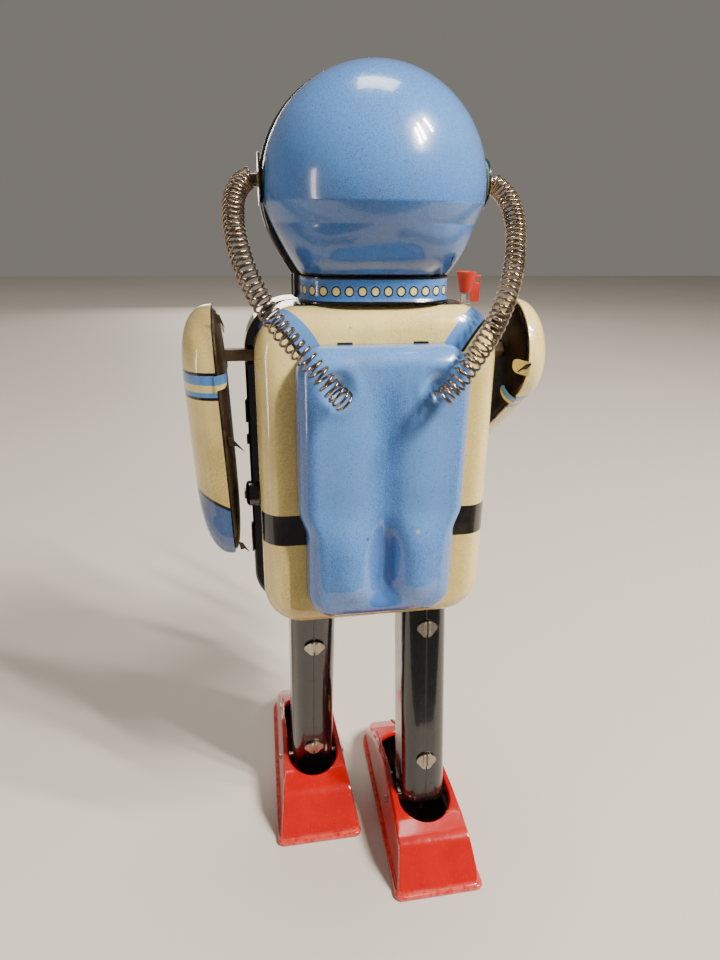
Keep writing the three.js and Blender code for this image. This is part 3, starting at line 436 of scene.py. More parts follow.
class Paint:
    """A new material with helpers for position, noise and layers of colour."""

    def __init__(self, name):
        self.material = bpy.data.materials.new(name)
        self.material.use_nodes = True
        self.tree = self.material.node_tree
        self.tree.nodes.clear()
        output = self.tree.nodes.new("ShaderNodeOutputMaterial")
        self.shader = self.tree.nodes.new("ShaderNodeBsdfPrincipled")
        self.tree.links.new(self.shader.outputs[0], output.inputs[0])
        place = self.tree.nodes.new("ShaderNodeTexCoord")
        scale = self.tree.nodes.new("ShaderNodeVectorMath")
        scale.operation = "SCALE"
        scale.inputs["Scale"].default_value = 1 / MM
        self.tree.links.new(place.outputs["Object"], scale.inputs[0])
        self.place = scale.outputs[0]
        split = self.tree.nodes.new("ShaderNodeSeparateXYZ")
        self.tree.links.new(self.place, split.inputs[0])
        self.x, y, self.z = [Field(self.tree, split.outputs[i]) for i in range(3)]
        self.y = y - BACK_Y

    def noise(self, per_mm, detail=2.0, rough=0.5, stretch=(1, 1, 1), seed=0.0):
        """A noise field from 0 to 1, per_mm features to the millimetre."""
        mapping = self.tree.nodes.new("ShaderNodeMapping")
        mapping.inputs["Scale"].default_value = stretch
        mapping.inputs["Location"].default_value = (seed, seed * 1.7, -seed)
        self.tree.links.new(self.place, mapping.inputs["Vector"])
        node = self.tree.nodes.new("ShaderNodeTexNoise")
        node.inputs["Scale"].default_value = per_mm
        node.inputs["Detail"].default_value = detail
        node.inputs["Roughness"].default_value = rough
        self.tree.links.new(mapping.outputs[0], node.inputs["Vector"])
        return Field(self.tree, node.outputs[0])

    def cells(self, per_mm, seed=0.0):
        """Distance to the nearest of scattered points, in cell widths."""
        mapping = self.tree.nodes.new("ShaderNodeMapping")
        mapping.inputs["Location"].default_value = (seed, -seed, seed * 0.6)
        self.tree.links.new(self.place, mapping.inputs["Vector"])
        node = self.tree.nodes.new("ShaderNodeTexVoronoi")
        node.inputs["Scale"].default_value = per_mm
        self.tree.links.new(mapping.outputs[0], node.inputs["Vector"])
        return Field(self.tree, node.outputs["Distance"])

    def mix(self, factor, under, over):
        """Colour 'over' laid on 'under' where factor is 1."""
        node = self.tree.nodes.new("ShaderNodeMix")
        node.data_type = "RGBA"
        self.tree.links.new(factor.socket, node.inputs[0])
        for socket, value in ((node.inputs[6], under), (node.inputs[7], over)):
            if isinstance(value, tuple):
                socket.default_value = value
            else:
                self.tree.links.new(value, socket)
        return node.outputs[2]

    def set(self, **values):
        """Fixed shader numbers, set on the shader's own sockets."""
        for name, value in values.items():
            self.shader.inputs[name.replace("_", " ")].default_value = value

    def drive(self, name, value):
        socket = value.socket if isinstance(value, Field) else value
        self.tree.links.new(socket, self.shader.inputs[name])

    def relief(self, height, depth):
        """Bump from a height field; depth is in metres."""
        node = self.tree.nodes.new("ShaderNodeBump")
        node.inputs["Strength"].default_value = 1.0
        node.inputs["Distance"].default_value = depth
        self.tree.links.new(height.socket, node.inputs["Height"])
        self.tree.links.new(node.outputs[0], self.shader.inputs["Normal"])


BLUE = linear(92, 150, 222)
BLUE_DOT = linear(30, 74, 146)
CREAM = linear(248, 226, 148)
CREAM_DOT = linear(196, 164, 80)
INK = linear(6, 5, 7)
RED_INK = linear(190, 40, 30)
TIN_COLOUR = linear(176, 170, 160)


def printed(paint, colour, wear=0.5, soft=0.05):
    """Varnished litho on tin: glossy coat, small specks, rubbed chips and a faint ripple."""
    chips = paint.cells(0.11, 3.1).below(0.055, 0.012) * paint.noise(1.4, 3, 0.6).above(0.5, 0.04)
    specks = paint.cells(0.23, 8.4).below(0.03, 0.01)
    grime = paint.noise(0.05, 5, 0.62, seed=2.0).ramp(0.45, 0.8) * 0.22
    colour = paint.mix(grime, colour, linear(120, 104, 78))
    colour = paint.mix(specks * 0.85, colour, linear(30, 26, 26))
    colour = paint.mix(chips * wear, colour, TIN_COLOUR)
    paint.drive("Base Color", colour)
    paint.drive("Metallic", chips * wear)
    scuffs = paint.noise(0.9, 6, 0.7, stretch=(1, 1, 0.15), seed=5.0).ramp(0.5, 0.75)
    paint.drive("Roughness", scuffs * 0.16 + 0.24)
    paint.set(Coat_Weight=0.8, Coat_Roughness=soft, Coat_IOR=1.5, IOR=1.42)
    ripple = paint.noise(0.07, 3, 0.5, seed=9.0) * 0.8 + paint.noise(2.2, 2, 0.5) * 0.025
    paint.relief(ripple - chips * (0.06 * wear), 0.00035)


def stippled(paint, light, dot, shade, grain=3.1):
    """Colour laid as fine printed dots: 'shade' is how much of the dark ink there is."""
    grains = paint.noise(grain, 1.5, 0.6, seed=4.0)
    dots = (grains + (shade * 0.44)).ramp(0.58, 0.74)
    toned = paint.mix(shade * 0.5, light, dot)
    return paint.mix(dots * 0.5, toned, dot)


def helmet_paint():
    paint = Paint("litho_helmet_blue")
    # printed dither, deepened as painted shade towards the bottom and the lower sides of the ball
    shade = paint.z.ramp(200, 182) * 0.35 + paint.z.ramp(206, 222) * 0.15 + 0.2
    side = paint.x.size().ramp(18, 27) * paint.z.below(193, 6) * 0.3
    colour = stippled(paint, BLUE, BLUE_DOT, shade + side, 4.2)
    edge = paint.y.below(HELMET_SEAM + 0.55)
    line = paint.z.below(NECK_TOP + 0.45)
    # a short scratch through to the dark tin, low on the right
    across = (paint.x + 17.2) - (paint.z - 180) * 0.22
    scratch = across.size().below(0.2, 0.1) * paint.z.between(177.5, 181.8, 0.4) * paint.y.above(-12)
    colour = paint.mix(scratch, colour, INK)
    printed(paint, paint.mix(edge.high(line), colour, INK), soft=0.1)
    return paint.material


def neck_paint():
    paint = Paint("litho_neck_band")
    colour = stippled(paint, BLUE, BLUE_DOT, paint.z.ramp(175, 171) * 0.3 + 0.25)
    node = paint.tree.nodes.new("ShaderNodeUVMap")
    node.uv_map = "band"
    split = paint.tree.nodes.new("ShaderNodeSeparateXYZ")
    paint.tree.links.new(node.outputs[0], split.inputs[0])
    along = Field(paint.tree, split.outputs[0])
    dot_pitch, dot_z = 3.1, 173.7
    cell = (along.math("FRACT") - 0.5) * dot_pitch
    out = away(cell, (paint.z - dot_z) * 0.92)
    colour = paint.mix(out.below(1.16), colour, INK)
    colour = paint.mix(out.below(0.84), colour, CREAM)
    colour = paint.mix(paint.z.above(176.45), colour, INK)
    colour = paint.mix(paint.z.below(171.45), colour, INK)
    printed(paint, colour, 0.3)
    return paint.material


def body_rear_paint():
    paint = Paint("litho_body_rear")
    x = paint.x.size()
    # darker beside the pack, low down: partly printed soft shading, partly painted shade from the pack
    pack_side_shade = x.ramp(30, 21) * paint.z.ramp(158, 150) * 0.5
    rim = (x.ramp(27, 31) * 0.25) + paint.z.ramp(92, 84) * 0.3
    waves = paint.noise(0.045, 2, 0.4, stretch=(1.6, 1, 0.4), seed=6.0).ramp(0.4, 0.7) * 0.3
    colour = stippled(paint, CREAM, CREAM_DOT, pack_side_shade + rim + waves, 3.4)
    # shoulder straps: they leave the pack's corners and climb over the shoulders
    strap_start, strap_drift = 15.6, 11.0
    climb = (paint.z - 161.5) - paint.y * 0.9
    centre = climb.ramp(-4, 13, soft=False) * strap_drift + strap_start
    above_pack = paint.z.above(152)
    colour = paint.mix((x - centre).between(-3.0, 3.4) * above_pack, colour, BLUE)
    colour = paint.mix((x - centre).between(2.8, 3.7) * above_pack, colour, INK)
    colour = paint.mix(paint.z.between(BELT_LOW, BELT_HIGH), colour, INK)
    colour = paint.mix(paint.z.above(BODY_TOP - 0.15), colour, INK)
    printed(paint, colour)
    return paint.material


def chest_dials(paint, colour, front):
    """Two round dials with seven ticks and a needle each."""
    z, radius, tick_radius = 148.5, 5.2, 3.9
    for x in (-7, 7):
        colour = paint.mix(disc_of(paint, x, z, radius) * front, colour, CREAM)
        colour = paint.mix(ring_of(paint, x, z, radius - 0.35, radius + 0.35) * front, colour, INK)
        for tick in range(7):
            t = math.radians(30 + 20 * tick)
            spot = (x + tick_radius * math.cos(t), z + tick_radius * math.sin(t))
            colour = paint.mix(disc_of(paint, *spot, 0.32) * front, colour, INK)
        needle = box_of(paint, x - 0.22, x + 0.22, z - 0.6, z + 3.3)
        colour = paint.mix(needle * front, colour, RED_INK)
    return colour


def chest_lamps(paint, colour, front):
    """A row of four printed lamps over a row of nine vents."""
    lamp_z, lamp_pitch, vent_pitch = 135.5, 6.4, 2.5
    for k, lamp in enumerate((RED_INK, linear(236, 186, 60), linear(70, 140, 80), RED_INK)):
        x = -9.6 + lamp_pitch * k
        colour = paint.mix(disc_of(paint, x, lamp_z, 2.3) * front, colour, INK)
        colour = paint.mix(disc_of(paint, x, lamp_z, 1.9) * front, colour, lamp)
    for k in range(9):
        x = -10 + vent_pitch * k
        vent = box_of(paint, x - 0.35, x + 0.35, 127.8, 131.2)
        colour = paint.mix(vent * front, colour, INK)
    return colour


def body_front_paint():
    """Cream front with straps, belt, buckle and a plain panel of dials and lamps."""
    paint = Paint("litho_body_front")
    x = paint.x.size()
    shade = paint.noise(0.045, 2, 0.4, seed=6.0).ramp(0.4, 0.7) * 0.25 + x.ramp(24, 33) * 0.3
    colour = stippled(paint, CREAM, CREAM_DOT, shade, 3.4)
    front = paint.y.below(-33)
    strap = (17.5, 23.5)
    colour = paint.mix(x.between(*strap) * paint.z.above(117) * front, colour, BLUE)
    for edge in strap:
        line = x.between(edge - 0.35, edge + 0.35) * paint.z.above(117) * front
        colour = paint.mix(line, colour, INK)
    panel = box_of(paint, -14.5, 14.5, 126, 158) * front
    colour = paint.mix(box_of(paint, -15.1, 15.1, 125.4, 158.6) * front, colour, INK)
    colour = paint.mix(panel, colour, BLUE)
    colour = chest_dials(paint, colour, front)
    colour = chest_lamps(paint, colour, front)
    colour = paint.mix(paint.z.between(BELT_LOW, BELT_HIGH), colour, INK)
    buckle = box_of(paint, -6, 6, BELT_LOW - 0.6, BELT_HIGH + 0.6) * front
    inner = box_of(paint, -4.2, 4.2, BELT_LOW + 1.2, BELT_HIGH - 1.2) * front
    colour = paint.mix(buckle, colour, linear(226, 190, 84))
    colour = paint.mix(inner, colour, INK)
    seam_strip = paint.y.above(-20.2)
    printed(paint, paint.mix(seam_strip, colour, INK))
    return paint.material


def pack_paint():
    paint = Paint("litho_pack_blue")
    x = paint.x
    # painted shade down the groove between the two tanks, low on the pack
    groove_shade = (x + 0.6).size().ramp(5.5, 0.8) * paint.z.ramp(158, 148) * 0.35
    low = paint.z.ramp(122, 110) * 0.16 + paint.z.ramp(100, 90) * 0.22
    side = x.size().ramp(15.5, 20.5) * 0.3
    shade = groove_shade + low + side + 0.12
    colour = stippled(paint, linear(100, 152, 220), BLUE_DOT, shade, 3.4)
    # painted shade along the foot of the pack's wall, where it meets the body's back
    rim = paint.y.below(1.0, 0.25)
    colour = paint.mix(rim * 0.85, colour, linear(24, 36, 70))
    # bare patches where the pressed ends of the tanks have been rubbed
    for spot in (-8.6, 11.4):
        patch = away((paint.x - spot) * 0.45, paint.z - 90.4)
        bare = patch.below(1.15, 0.3) * paint.noise(0.9, 3, 0.6).above(0.46, 0.05)
        colour = paint.mix(bare, colour, linear(168, 158, 140))
    speck = away(paint.x - 4.6, paint.z - 113.6).below(0.42, 0.1)
    colour = paint.mix(speck, colour, linear(24, 96, 170))
    chip = away(paint.x + 8.4, paint.z - 115.2).below(0.55, 0.15)
    colour = paint.mix(chip, colour, TIN_COLOUR)
    printed(paint, colour, soft=0.09)
    return paint.material


def plain_litho(name, light, dot, shade=0.3, wear=0.5):
    paint = Paint(name)
    cloud = paint.noise(0.06, 2, 0.5, seed=1.0).ramp(0.35, 0.75) * shade
    printed(paint, stippled(paint, light, dot, cloud + 0.05), wear)
    return paint.material


def front_helmet_paint():
    paint = Paint("litho_helmet_front")
    colour = stippled(paint, linear(30, 42, 74), INK, paint.z.ramp(200, 180) * 0.5 + 0.1)
    band = paint.y.above(-21.6) * paint.z.above(181)
    colour = paint.mix(band, colour, INK)
    out = away(paint.x * 0.82, paint.z - VISOR_Z)
    colour = paint.mix(out.below(16.9) * paint.y.below(-34), colour, CREAM)
    printed(paint, colour, 0.4)
    return paint.material


def ear_paint():
    paint = Paint("litho_ear_disc")
    out = away(paint.y - HEAD_Y, paint.z - EAR_Z)
    colour = paint.mix(out.above(5.5), CREAM, INK)
    colour = paint.mix(out.between(2.8, 4.0), colour, RED_INK)
    colour = paint.mix(out.between(2.5, 2.8), colour, INK)
    colour = paint.mix(paint.x.size().above(28.3), colour, linear(60, 50, 42))
    printed(paint, colour, 0.4)
    return paint.material


def face_paint():
    """A plain toy-robot face behind the visor: two round eyes and a grille mouth."""
    paint = Paint("litho_face")
    dial = stippled(paint, linear(222, 206, 170), CREAM_DOT, paint.x.size().ramp(6, 19) * 0.6)
    eye_x, eye_z = 6.6, 200.5
    for side in (-1, 1):
        out = away(paint.x - eye_x * side, paint.z - eye_z)
        for radius, ink in ((3.5, INK), (3.0, linear(240, 236, 222)), (1.5, linear(40, 96, 140)),
                            (0.75, INK)):
            dial = paint.mix(out.below(radius), dial, ink)
    mouth = box_of(paint, -6, 6, 188.2, 191.6)
    dial = paint.mix(mouth, dial, INK)
    for k in range(6):
        slot = box_of(paint, -5.4 + 2 * k - 0.1, -4.0 + 2 * k - 0.1, 188.7, 191.1)
        dial = paint.mix(slot, dial, linear(206, 202, 190))
    nose_z = 193.4
    wedge = (paint.x.size() * 2.2 + (paint.z - nose_z)).below(4.2) * paint.z.above(nose_z)
    dial = paint.mix(wedge * 0.7, dial, linear(176, 138, 92))
    printed(paint, dial, 0.3)
    return paint.material


def arm_paint(turn):
    """Cream sleeve with a striped cuff, a plain round badge and a blue mitten."""
    paint = Paint("litho_arm_right" if turn else "litho_arm_left")
    c, s = math.cos(turn), math.sin(turn)
    dy, dz = paint.y - SHAFT_Y, paint.z - SHAFT_Z
    drop = dz * c - dy * s          # height above the shaft in the arm's own frame
    fore = dy * c + dz * s
    tone = paint.noise(0.05, 2, 0.5, seed=3.0).ramp(0.4, 0.7) * 0.35
    colour = stippled(paint, CREAM, CREAM_DOT, tone + drop.ramp(-20, -40) * 0.25, 3.4)
    for low, high, ink in ((-2.7, -1.9, INK), (-5.1, -2.7, BLUE), (-8.2, -7.0, BLUE),
                           (-9.0, -8.2, INK)):
        colour = paint.mix(drop.between(low, high), colour, ink)
    # the mitten's edge slants down towards the body
    mitten_edge = -33.9
    slope = drop + (-paint.x.size() + 49) * 0.55
    colour = paint.mix(slope.below(mitten_edge), colour, INK)
    glove = stippled(paint, linear(86, 116, 160), BLUE_DOT, drop.ramp(-40, ARM_TIP) * 0.4 + 0.3)
    colour = paint.mix(slope.below(mitten_edge - 1), colour, glove)
    badge = away(fore * 0.9, drop - 2.6) + (paint.x.size().below(46.5) * 20)
    colour = paint.mix(badge.below(4.3), colour, INK)
    colour = paint.mix(badge.below(4.0), colour, linear(176, 66, 40))
    colour = paint.mix(badge.between(1.9, 2.3), colour, CREAM)
    printed(paint, colour)
    return paint.material


def enamel(name, colour, deep, rim=None, seam=False):
    """Dipped gloss enamel, rubbed lighter along raised rims, with small dark specks."""
    paint = Paint(name)
    cloud = paint.noise(0.08, 3, 0.55, seed=2.5).ramp(0.35, 0.7)
    mixed = paint.mix(cloud * 0.5, colour, deep)
    rub = paint.noise(0.55, 5, 0.65, seed=7.0).above(0.47, 0.08)
    if rim is not None:
        edge = paint.z.below(2.2, 0.5) * rub
        mixed = paint.mix(edge * 0.45, mixed, rim)
    specks = paint.cells(0.2, 5.0).below(0.028, 0.01)
    mixed = paint.mix(specks * 0.8, mixed, linear(40, 20, 18))
    paint.drive("Base Color", mixed)
    scuffs = paint.noise(1.1, 6, 0.7, stretch=(1, 1, 0.2), seed=4.0).ramp(0.48, 0.8)
    paint.drive("Roughness", scuffs * 0.2 + 0.2)
    paint.set(Coat_Weight=0.7, Coat_Roughness=0.06, IOR=1.5)
    height = paint.noise(0.09, 3, 0.5, seed=1.0) + paint.noise(1.8, 3, 0.6) * 0.03
    if seam:
        line = (paint.x.size() - LEG_X).size().below(0.16, 0.08)
        height = height - line * 0.8
    paint.relief(height, 0.0003)
    return paint.material


def metal(name, colour, rough=0.32, grain=(1, 1, 1), tarnish=None, spread=0.5):
    """Bare metal with drawn or rolled grain, fine scratches and patches of tarnish."""
    paint = Paint(name)
    patches = paint.noise(0.22, 5, 0.65, seed=6.0).ramp(0.42, 0.72)
    mixed = paint.mix(patches * spread, colour, tarnish or linear(70, 56, 44))
    paint.drive("Base Color", mixed)
    paint.set(Metallic=1.0)
    lines = paint.noise(2.4, 6, 0.7, stretch=grain, seed=1.5)
    paint.drive("Roughness", lines * 0.22 + patches * 0.14 + (rough - 0.1))
    paint.relief(lines, 0.00005)
    return paint.material


def plastic(name, colour, dark):
    paint = Paint(name)
    cloud = paint.noise(0.3, 3, 0.5, seed=2.0).ramp(0.4, 0.7)
    paint.drive("Base Color", paint.mix(cloud * 0.5, colour, dark))
    paint.drive("Roughness", paint.noise(1.6, 4, 0.6) * 0.2 + 0.28)
    paint.set(Subsurface_Weight=0.05)
    paint.relief(paint.noise(2.5, 3, 0.6), 0.00004)
    return paint.material


M_HELMET = helmet_paint()
M_NECK = neck_paint()
M_REAR = body_rear_paint()
M_FRONT = body_front_paint()
M_PACK = pack_paint()
M_HELMET_FRONT = front_helmet_paint()
M_EAR = ear_paint()
M_FACE = face_paint()
M_ARM_L = arm_paint(0.0)
M_ARM_R = arm_paint(-ARM_RAISE)
M_BLACK = enamel("enamel_black", linear(10, 9, 10), linear(18, 12, 11), seam=True)
M_RED = enamel("enamel_red", linear(184, 2, 3), linear(150, 1, 2), linear(226, 96, 80))
M_TRAY = metal("bare_tin_tray", linear(112, 98, 84), 0.5, tarnish=linear(40, 30, 24), spread=0.8)
# a darker copy of the tray tin above, as painted shade: for the right arm's tray and burrs and the sole
# plates inside the feet
M_TRAY_SHADED = metal("tin_tray_painted_shade", linear(40, 30, 24), 0.5,
                    tarnish=linear(18, 13, 10), spread=0.7)
M_BAR = metal("bare_tin_bar", linear(150, 128, 104), 0.45, (0.1, 1, 1))
M_SPRING = metal("spring_wire", linear(164, 146, 126), 0.18,
                 tarnish=linear(70, 50, 36), spread=0.8)
M_STEEL = metal("plate_steel", linear(186, 176, 160), 0.34, tarnish=linear(104, 84, 66))
M_BRASS = metal("brass_wheel", linear(202, 160, 84), 0.3, tarnish=linear(110, 78, 38))
M_CHROME = metal("bright_trim", linear(222, 222, 224), 0.18,
                 tarnish=linear(150, 146, 140), spread=0.3)
M_GUN_RED = plastic("red_muzzle", linear(186, 44, 30), linear(150, 28, 20))
M_DARK = plain_litho("litho_black", INK, linear(40, 34, 30), 0.3, 0.3)


# ---------------------------------------------------------------- helmet and neck
def neck_ease(t):
    """How far the helmet has widened at a share t of the way from neck to ball."""
    return t * (1.35 - 0.35 * t)


def helmet_surface(rows=150):
    """(points, faces) of the ball that draws in to the boxy neck."""
    waist_z = HEAD_Z + HEAD_R * HEAD_LOW
    waist = HEAD_R * math.sqrt(1 - HEAD_LOW ** 2)
    rings = []
    for t in np.linspace(0, 1, rows // 3, endpoint=False):
        ease = neck_ease(t)
        z = NECK_TOP + (waist_z - NECK_TOP) * t
        half_x = NECK_HALF + (waist - NECK_HALF) * ease
        half_y = NECK_DEEP + (waist - NECK_DEEP) * ease
        y = NECK_Y + (HEAD_Y - NECK_Y) * ease
        power = NECK_POWER - (NECK_POWER - 2) * min(1, t * 1.4)
        rings.append(superellipse(half_x, half_y, y, z, power, 240))
    low = math.asin(HEAD_LOW)
    for t in np.linspace(0, 1, rows):
        latitude = low + (math.pi / 2 - low) * t
        r = max(HEAD_R * math.cos(latitude), 0.001)
        rings.append(superellipse(r, r, HEAD_Y, HEAD_Z + HEAD_R * math.sin(latitude), 2, 240))
    return skin(rings)


def visor_ring(half_x, half_z, y, count=96):
    """An upright oval about the middle of the visor."""
    t = np.linspace(0, 2 * math.pi, count, endpoint=False)
    return np.column_stack([half_x * np.cos(t), np.full(count, y), VISOR_Z + half_z * np.sin(t)])


def helmet():
    """Both halves of the helmet, the bead between them and the lug on the crown."""
    ball = helmet_surface()
    rear = trimmed(ball, [((0, HELMET_SEAM, 0), (0, 1, 0))])
    obj = build("helmet_rear", rear, wall=TIN)
    finish_piece(obj, "robot_body", "blue_tin", M_HELMET, "helmet_rear_shell")

    front = trimmed(ball, [((0, HELMET_SEAM - 0.3, 0), (0, -1, 0))])
    window = skin([visor_ring(*VISOR, y) for y in (-60, HEAD_Y - 10)], first_cap=True, last_cap=True)
    shell = build("helmet_front", front, wall=TIN, cuts=[window])
    finish_piece(shell, "robot_body", "dark_tin", M_HELMET_FRONT, "helmet_front_shell")

    # rolled bead round the front half, which runs on down both sides of the neck
    reach = math.radians(126)
    bead_r = 26.5
    t = np.linspace(-reach, reach, 160)
    ball_x, ball_z = bead_r * np.sin(t), HEAD_Z + bead_r * np.cos(t)
    neck_z = np.linspace(NECK_LOW, ball_z[0], 24, endpoint=False)
    share = np.clip((neck_z - NECK_TOP) / (HEAD_Z + HEAD_LOW * HEAD_R - NECK_TOP), 0, 1)
    neck_x = -(NECK_HALF + 0.3 + 8.3 * neck_ease(share))
    x = np.r_[neck_x, ball_x, -neck_x[::-1]]
    z = np.r_[neck_z, ball_z, neck_z[::-1]]
    path = np.column_stack([x, np.full(len(x), HELMET_SEAM - 1.8), z])
    bead = build("helmet_bead", swept(path, 1.38, 16))
    finish_piece(bead, "robot_body", "dark_tin", M_DARK)

    crown = HEAD_Z + HEAD_R
    tab = block((-2.2, HELMET_SEAM + 0.4, crown - 0.2), (2.2, HELMET_SEAM + 3.8, crown + 0.32))
    lug = build("crown_lug", tab)
    soften(lug, 0.18)
    finish_piece(lug, "robot_body", "dark_tin", M_DARK, "crown_tab")


def visor():
    """The bright bezel round the window and the printed face behind it."""
    section = ((-0.3, -17.4), (-0.3, -22.0), (-0.5, -22.5), (-1.0, -22.5), (-1.5, -22.1), (-1.6, -17.4))
    ring = [visor_ring(VISOR[0] + grow, VISOR[1] + grow, HEAD_Y + y) for grow, y in section]
    bezel = build("visor_trim", skin(ring, loop=True))
    finish_piece(bezel, "robot_body", "bright_trim", M_CHROME, "visor_bezel")

    half_wide, half_tall, bulge = 19.5, 16.5, 4.2
    rings = []
    for scale in np.linspace(0.004, 1, 24):
        y = HEAD_Y - 12.5 - bulge * (1 - scale * scale)
        rings.append(visor_ring(half_wide * scale, half_tall * scale, y))
    face = build("face_plate_print", skin(rings, first_cap=True), wall=-0.4)
    finish_piece(face, "robot_body", "cream_tin", M_FACE, "face_plate")


def ears():
    """A dished disc on each side of the helmet, with the spigot that holds the hose."""
    profile = [(0.01, 2.4), (1.4, 2.4), (1.6, 2.2), (1.66, 0.8), (2.1, 0.62), (5.2, 0.42), (5.6, 0.52),
               (5.95, 0.36), (6.02, 0.05), (5.9, 0.0), (0.01, 0.0)]
    for side, name in ((1, "left"), (-1, "right")):
        mirror = Matrix.Scale(side, 4, (1, 0, 0))
        place = Matrix.Translation((side * (HEAD_R + 0.32), HEAD_Y, EAR_Z)) @ mirror
        obj = build(f"{name}_ear", moved(turned(profile, 72, "X"), place))
        finish_piece(obj, "robot_body", "cream_tin", M_EAR, f"{name}_ear_disc")


def neck():
    """The printed band between helmet and shoulders, with a rolled lip at its foot."""
    profile = [(170.72, 0.55), (171.0, 0.62), (171.35, 0.55), (171.7, 0.22), (172.1, 0.02), (173, 0),
               (175.6, 0), (176.2, 0.0), (176.55, 0.14), (176.8, 0.14), (176.98, 0.0)]
    count = 320
    rings = []
    for z, out in profile:
        ring = superellipse(NECK_HALF + out, NECK_DEEP + out, NECK_Y, z, NECK_POWER, 720)
        rings.append(evenly(ring, count))
    obj = build("neck_band", skin(rings), wall=TIN)
    # 'band' runs once round the neck for each printed dot
    layer = obj.data.uv_layers.new(name="band")
    reference = evenly(superellipse(NECK_HALF, NECK_DEEP, NECK_Y, 0, NECK_POWER, 720), count)[:, :2]
    for face in obj.data.polygons:
        spots = []
        for loop in face.loop_indices:
            co = obj.data.vertices[obj.data.loops[loop].vertex_index].co
            flat = np.array([co.x / MM, co.y / MM - BACK_Y])
            spots.append(int(np.argmin(np.linalg.norm(reference - flat, axis=1))))
        wraps = max(spots) - min(spots) > count / 2
        for loop, spot in zip(face.loop_indices, spots):
            run = spot + (count if wraps and spot < count / 2 else 0)
            layer.data[loop].uv = (run / count * NECK_DOTS, 0.0)
    finish_piece(obj, "robot_body", "blue_tin", M_NECK, "neck_ring")


# ---------------------------------------------------------------- body
def body_outline(inset, y, wider=0.0):
    """The body seen from behind, drawn in by inset."""
    half = BODY_HALF + wider - inset
    low = BODY_LOW - wider + inset
    high = BODY_TOP - inset
    turn = max(11 - inset, 2)                           # radius of the lower corners
    over = half - (NECK_HALF + 1.5 - inset * 0.8)       # width of a shoulder
    fall = 13.5 - inset * 0.5                           # drop of a shoulder
    flat = np.vstack([
        corner(half - turn, low + turn, turn, turn, 0, -90, 20),
        corner(-half + turn, low + turn, turn, turn, -90, -180, 20),
        corner(-half + over, high - fall, over, fall, 180, 90, 20),
        corner(half - over, high - fall, over, fall, 90, 0, 20),
    ])
    ring = np.column_stack([flat[:, 0], np.full(len(flat), y), flat[:, 1]])
    return evenly(ring, 260)


def rounded_side(face_y, toward, wider, steps=12):
    """Rings that turn from the flat of the body's back or chest into its side."""
    rings = []
    for i in range(steps + 1):
        t = i / steps * math.pi / 2
        y = face_y + toward * BODY_ROUND * (1 - math.cos(t))
        rings.append(body_outline(BODY_ROUND * (1 - math.sin(t)), y, wider))
    return rings


def flat_middle(ring, steps=7):
    """Rings that shrink evenly inside a flat ring."""
    middle = ring.mean(0)
    return [middle + (ring - middle) * s for s in np.linspace(0.02, 1, steps, endpoint=False)]


def body_openings():
    """What both halves are cut away for: legs, arm shafts, winding arbor, lever and neck."""
    legs = block((-26.5, -31, BODY_LOW - 6), (26.5, -5, BODY_LOW + 7))
    shafts = bar(2.7, -40, 40, SHAFT_Y, SHAFT_Z)
    arbor = bar(2.2, 20, 40, WINDING_Y, WINDING_Z)
    lever = block((-40, -31, 120.6), (-20, -26, 126.8))
    rings = [superellipse(NECK_HALF - 2, NECK_DEEP - 2, NECK_Y, z, NECK_POWER, 96)
             for z in (BODY_TOP - 4, BODY_TOP + 2)]
    return [legs, shafts, arbor, lever, skin(rings, first_cap=True, last_cap=True)]


def body():
    """The two pressed halves, the lugs that join them and the boss round the winding arbor."""
    openings = body_openings()
    back = rounded_side(0, -1, 0)
    side = [body_outline(0, y) for y in np.linspace(-BODY_ROUND, SEAM_Y + 0.3, 8)[1:]]
    rings = flat_middle(back[0]) + back + side
    rear = build("body_rear", skin(rings, first_cap=True), wall=TIN, cuts=openings)
    finish_piece(rear, "robot_body", "cream_tin", M_REAR, "body_rear_shell")

    # front half: a flange across the seam, a folded edge, the side and the chest
    face = SEAM_Y - 0.08
    flange = [body_outline(1.3, face), body_outline(0.8, face, SEAM_LAP),
              body_outline(0.3, face - 0.14, SEAM_LAP), body_outline(0.08, face - 0.4, SEAM_LAP)]
    side = [body_outline(0, y, SEAM_LAP)
            for y in np.linspace(face - 0.8, -BODY_DEPTH + BODY_ROUND, 8)[:-1]]
    chest = rounded_side(-BODY_DEPTH, 1, SEAM_LAP)[::-1]
    rings = flange + side + chest + flat_middle(chest[-1])[::-1]
    front = build("body_front", skin(rings, last_cap=True), wall=TIN, cuts=openings)
    finish_piece(front, "robot_body", "cream_tin", M_FRONT, "body_front_shell")

    lugs()
    boss = turned([(0.01, -0.1), (1.5, 0.9), (1.7, 1.25), (2.6, 1.2), (3.3, 0.9), (3.75, 0.3),
                   (3.8, -2.4), (1.8, -2.5)], 48, "X")
    place = Matrix.Translation((33.5, WINDING_Y, WINDING_Z))
    obj = build("winding_boss_cap", moved(boss, place))
    finish_piece(obj, "robot_body", "dark_tin", M_DARK, "winding_boss")


def lugs():
    """Folded tin lugs that lock the two halves of the body along the side seams."""
    parts = []
    for side in (-1, 1):
        for z, long in ((141, 6.2), (103, 8.4), (133, 2.6)):
            x = side * (BODY_HALF + SEAM_LAP)
            low = (min(x, x + side * 0.55), SEAM_Y - 3.0, z - long / 2)
            high = (max(x, x + side * 0.55), SEAM_Y + 0.35, z + long / 2)
            parts.append(block(low, high))
    obj = build("seam_lugs", together(*parts))
    soften(obj, 0.2)
    finish_piece(obj, "robot_body", "dark_tin", M_DARK)


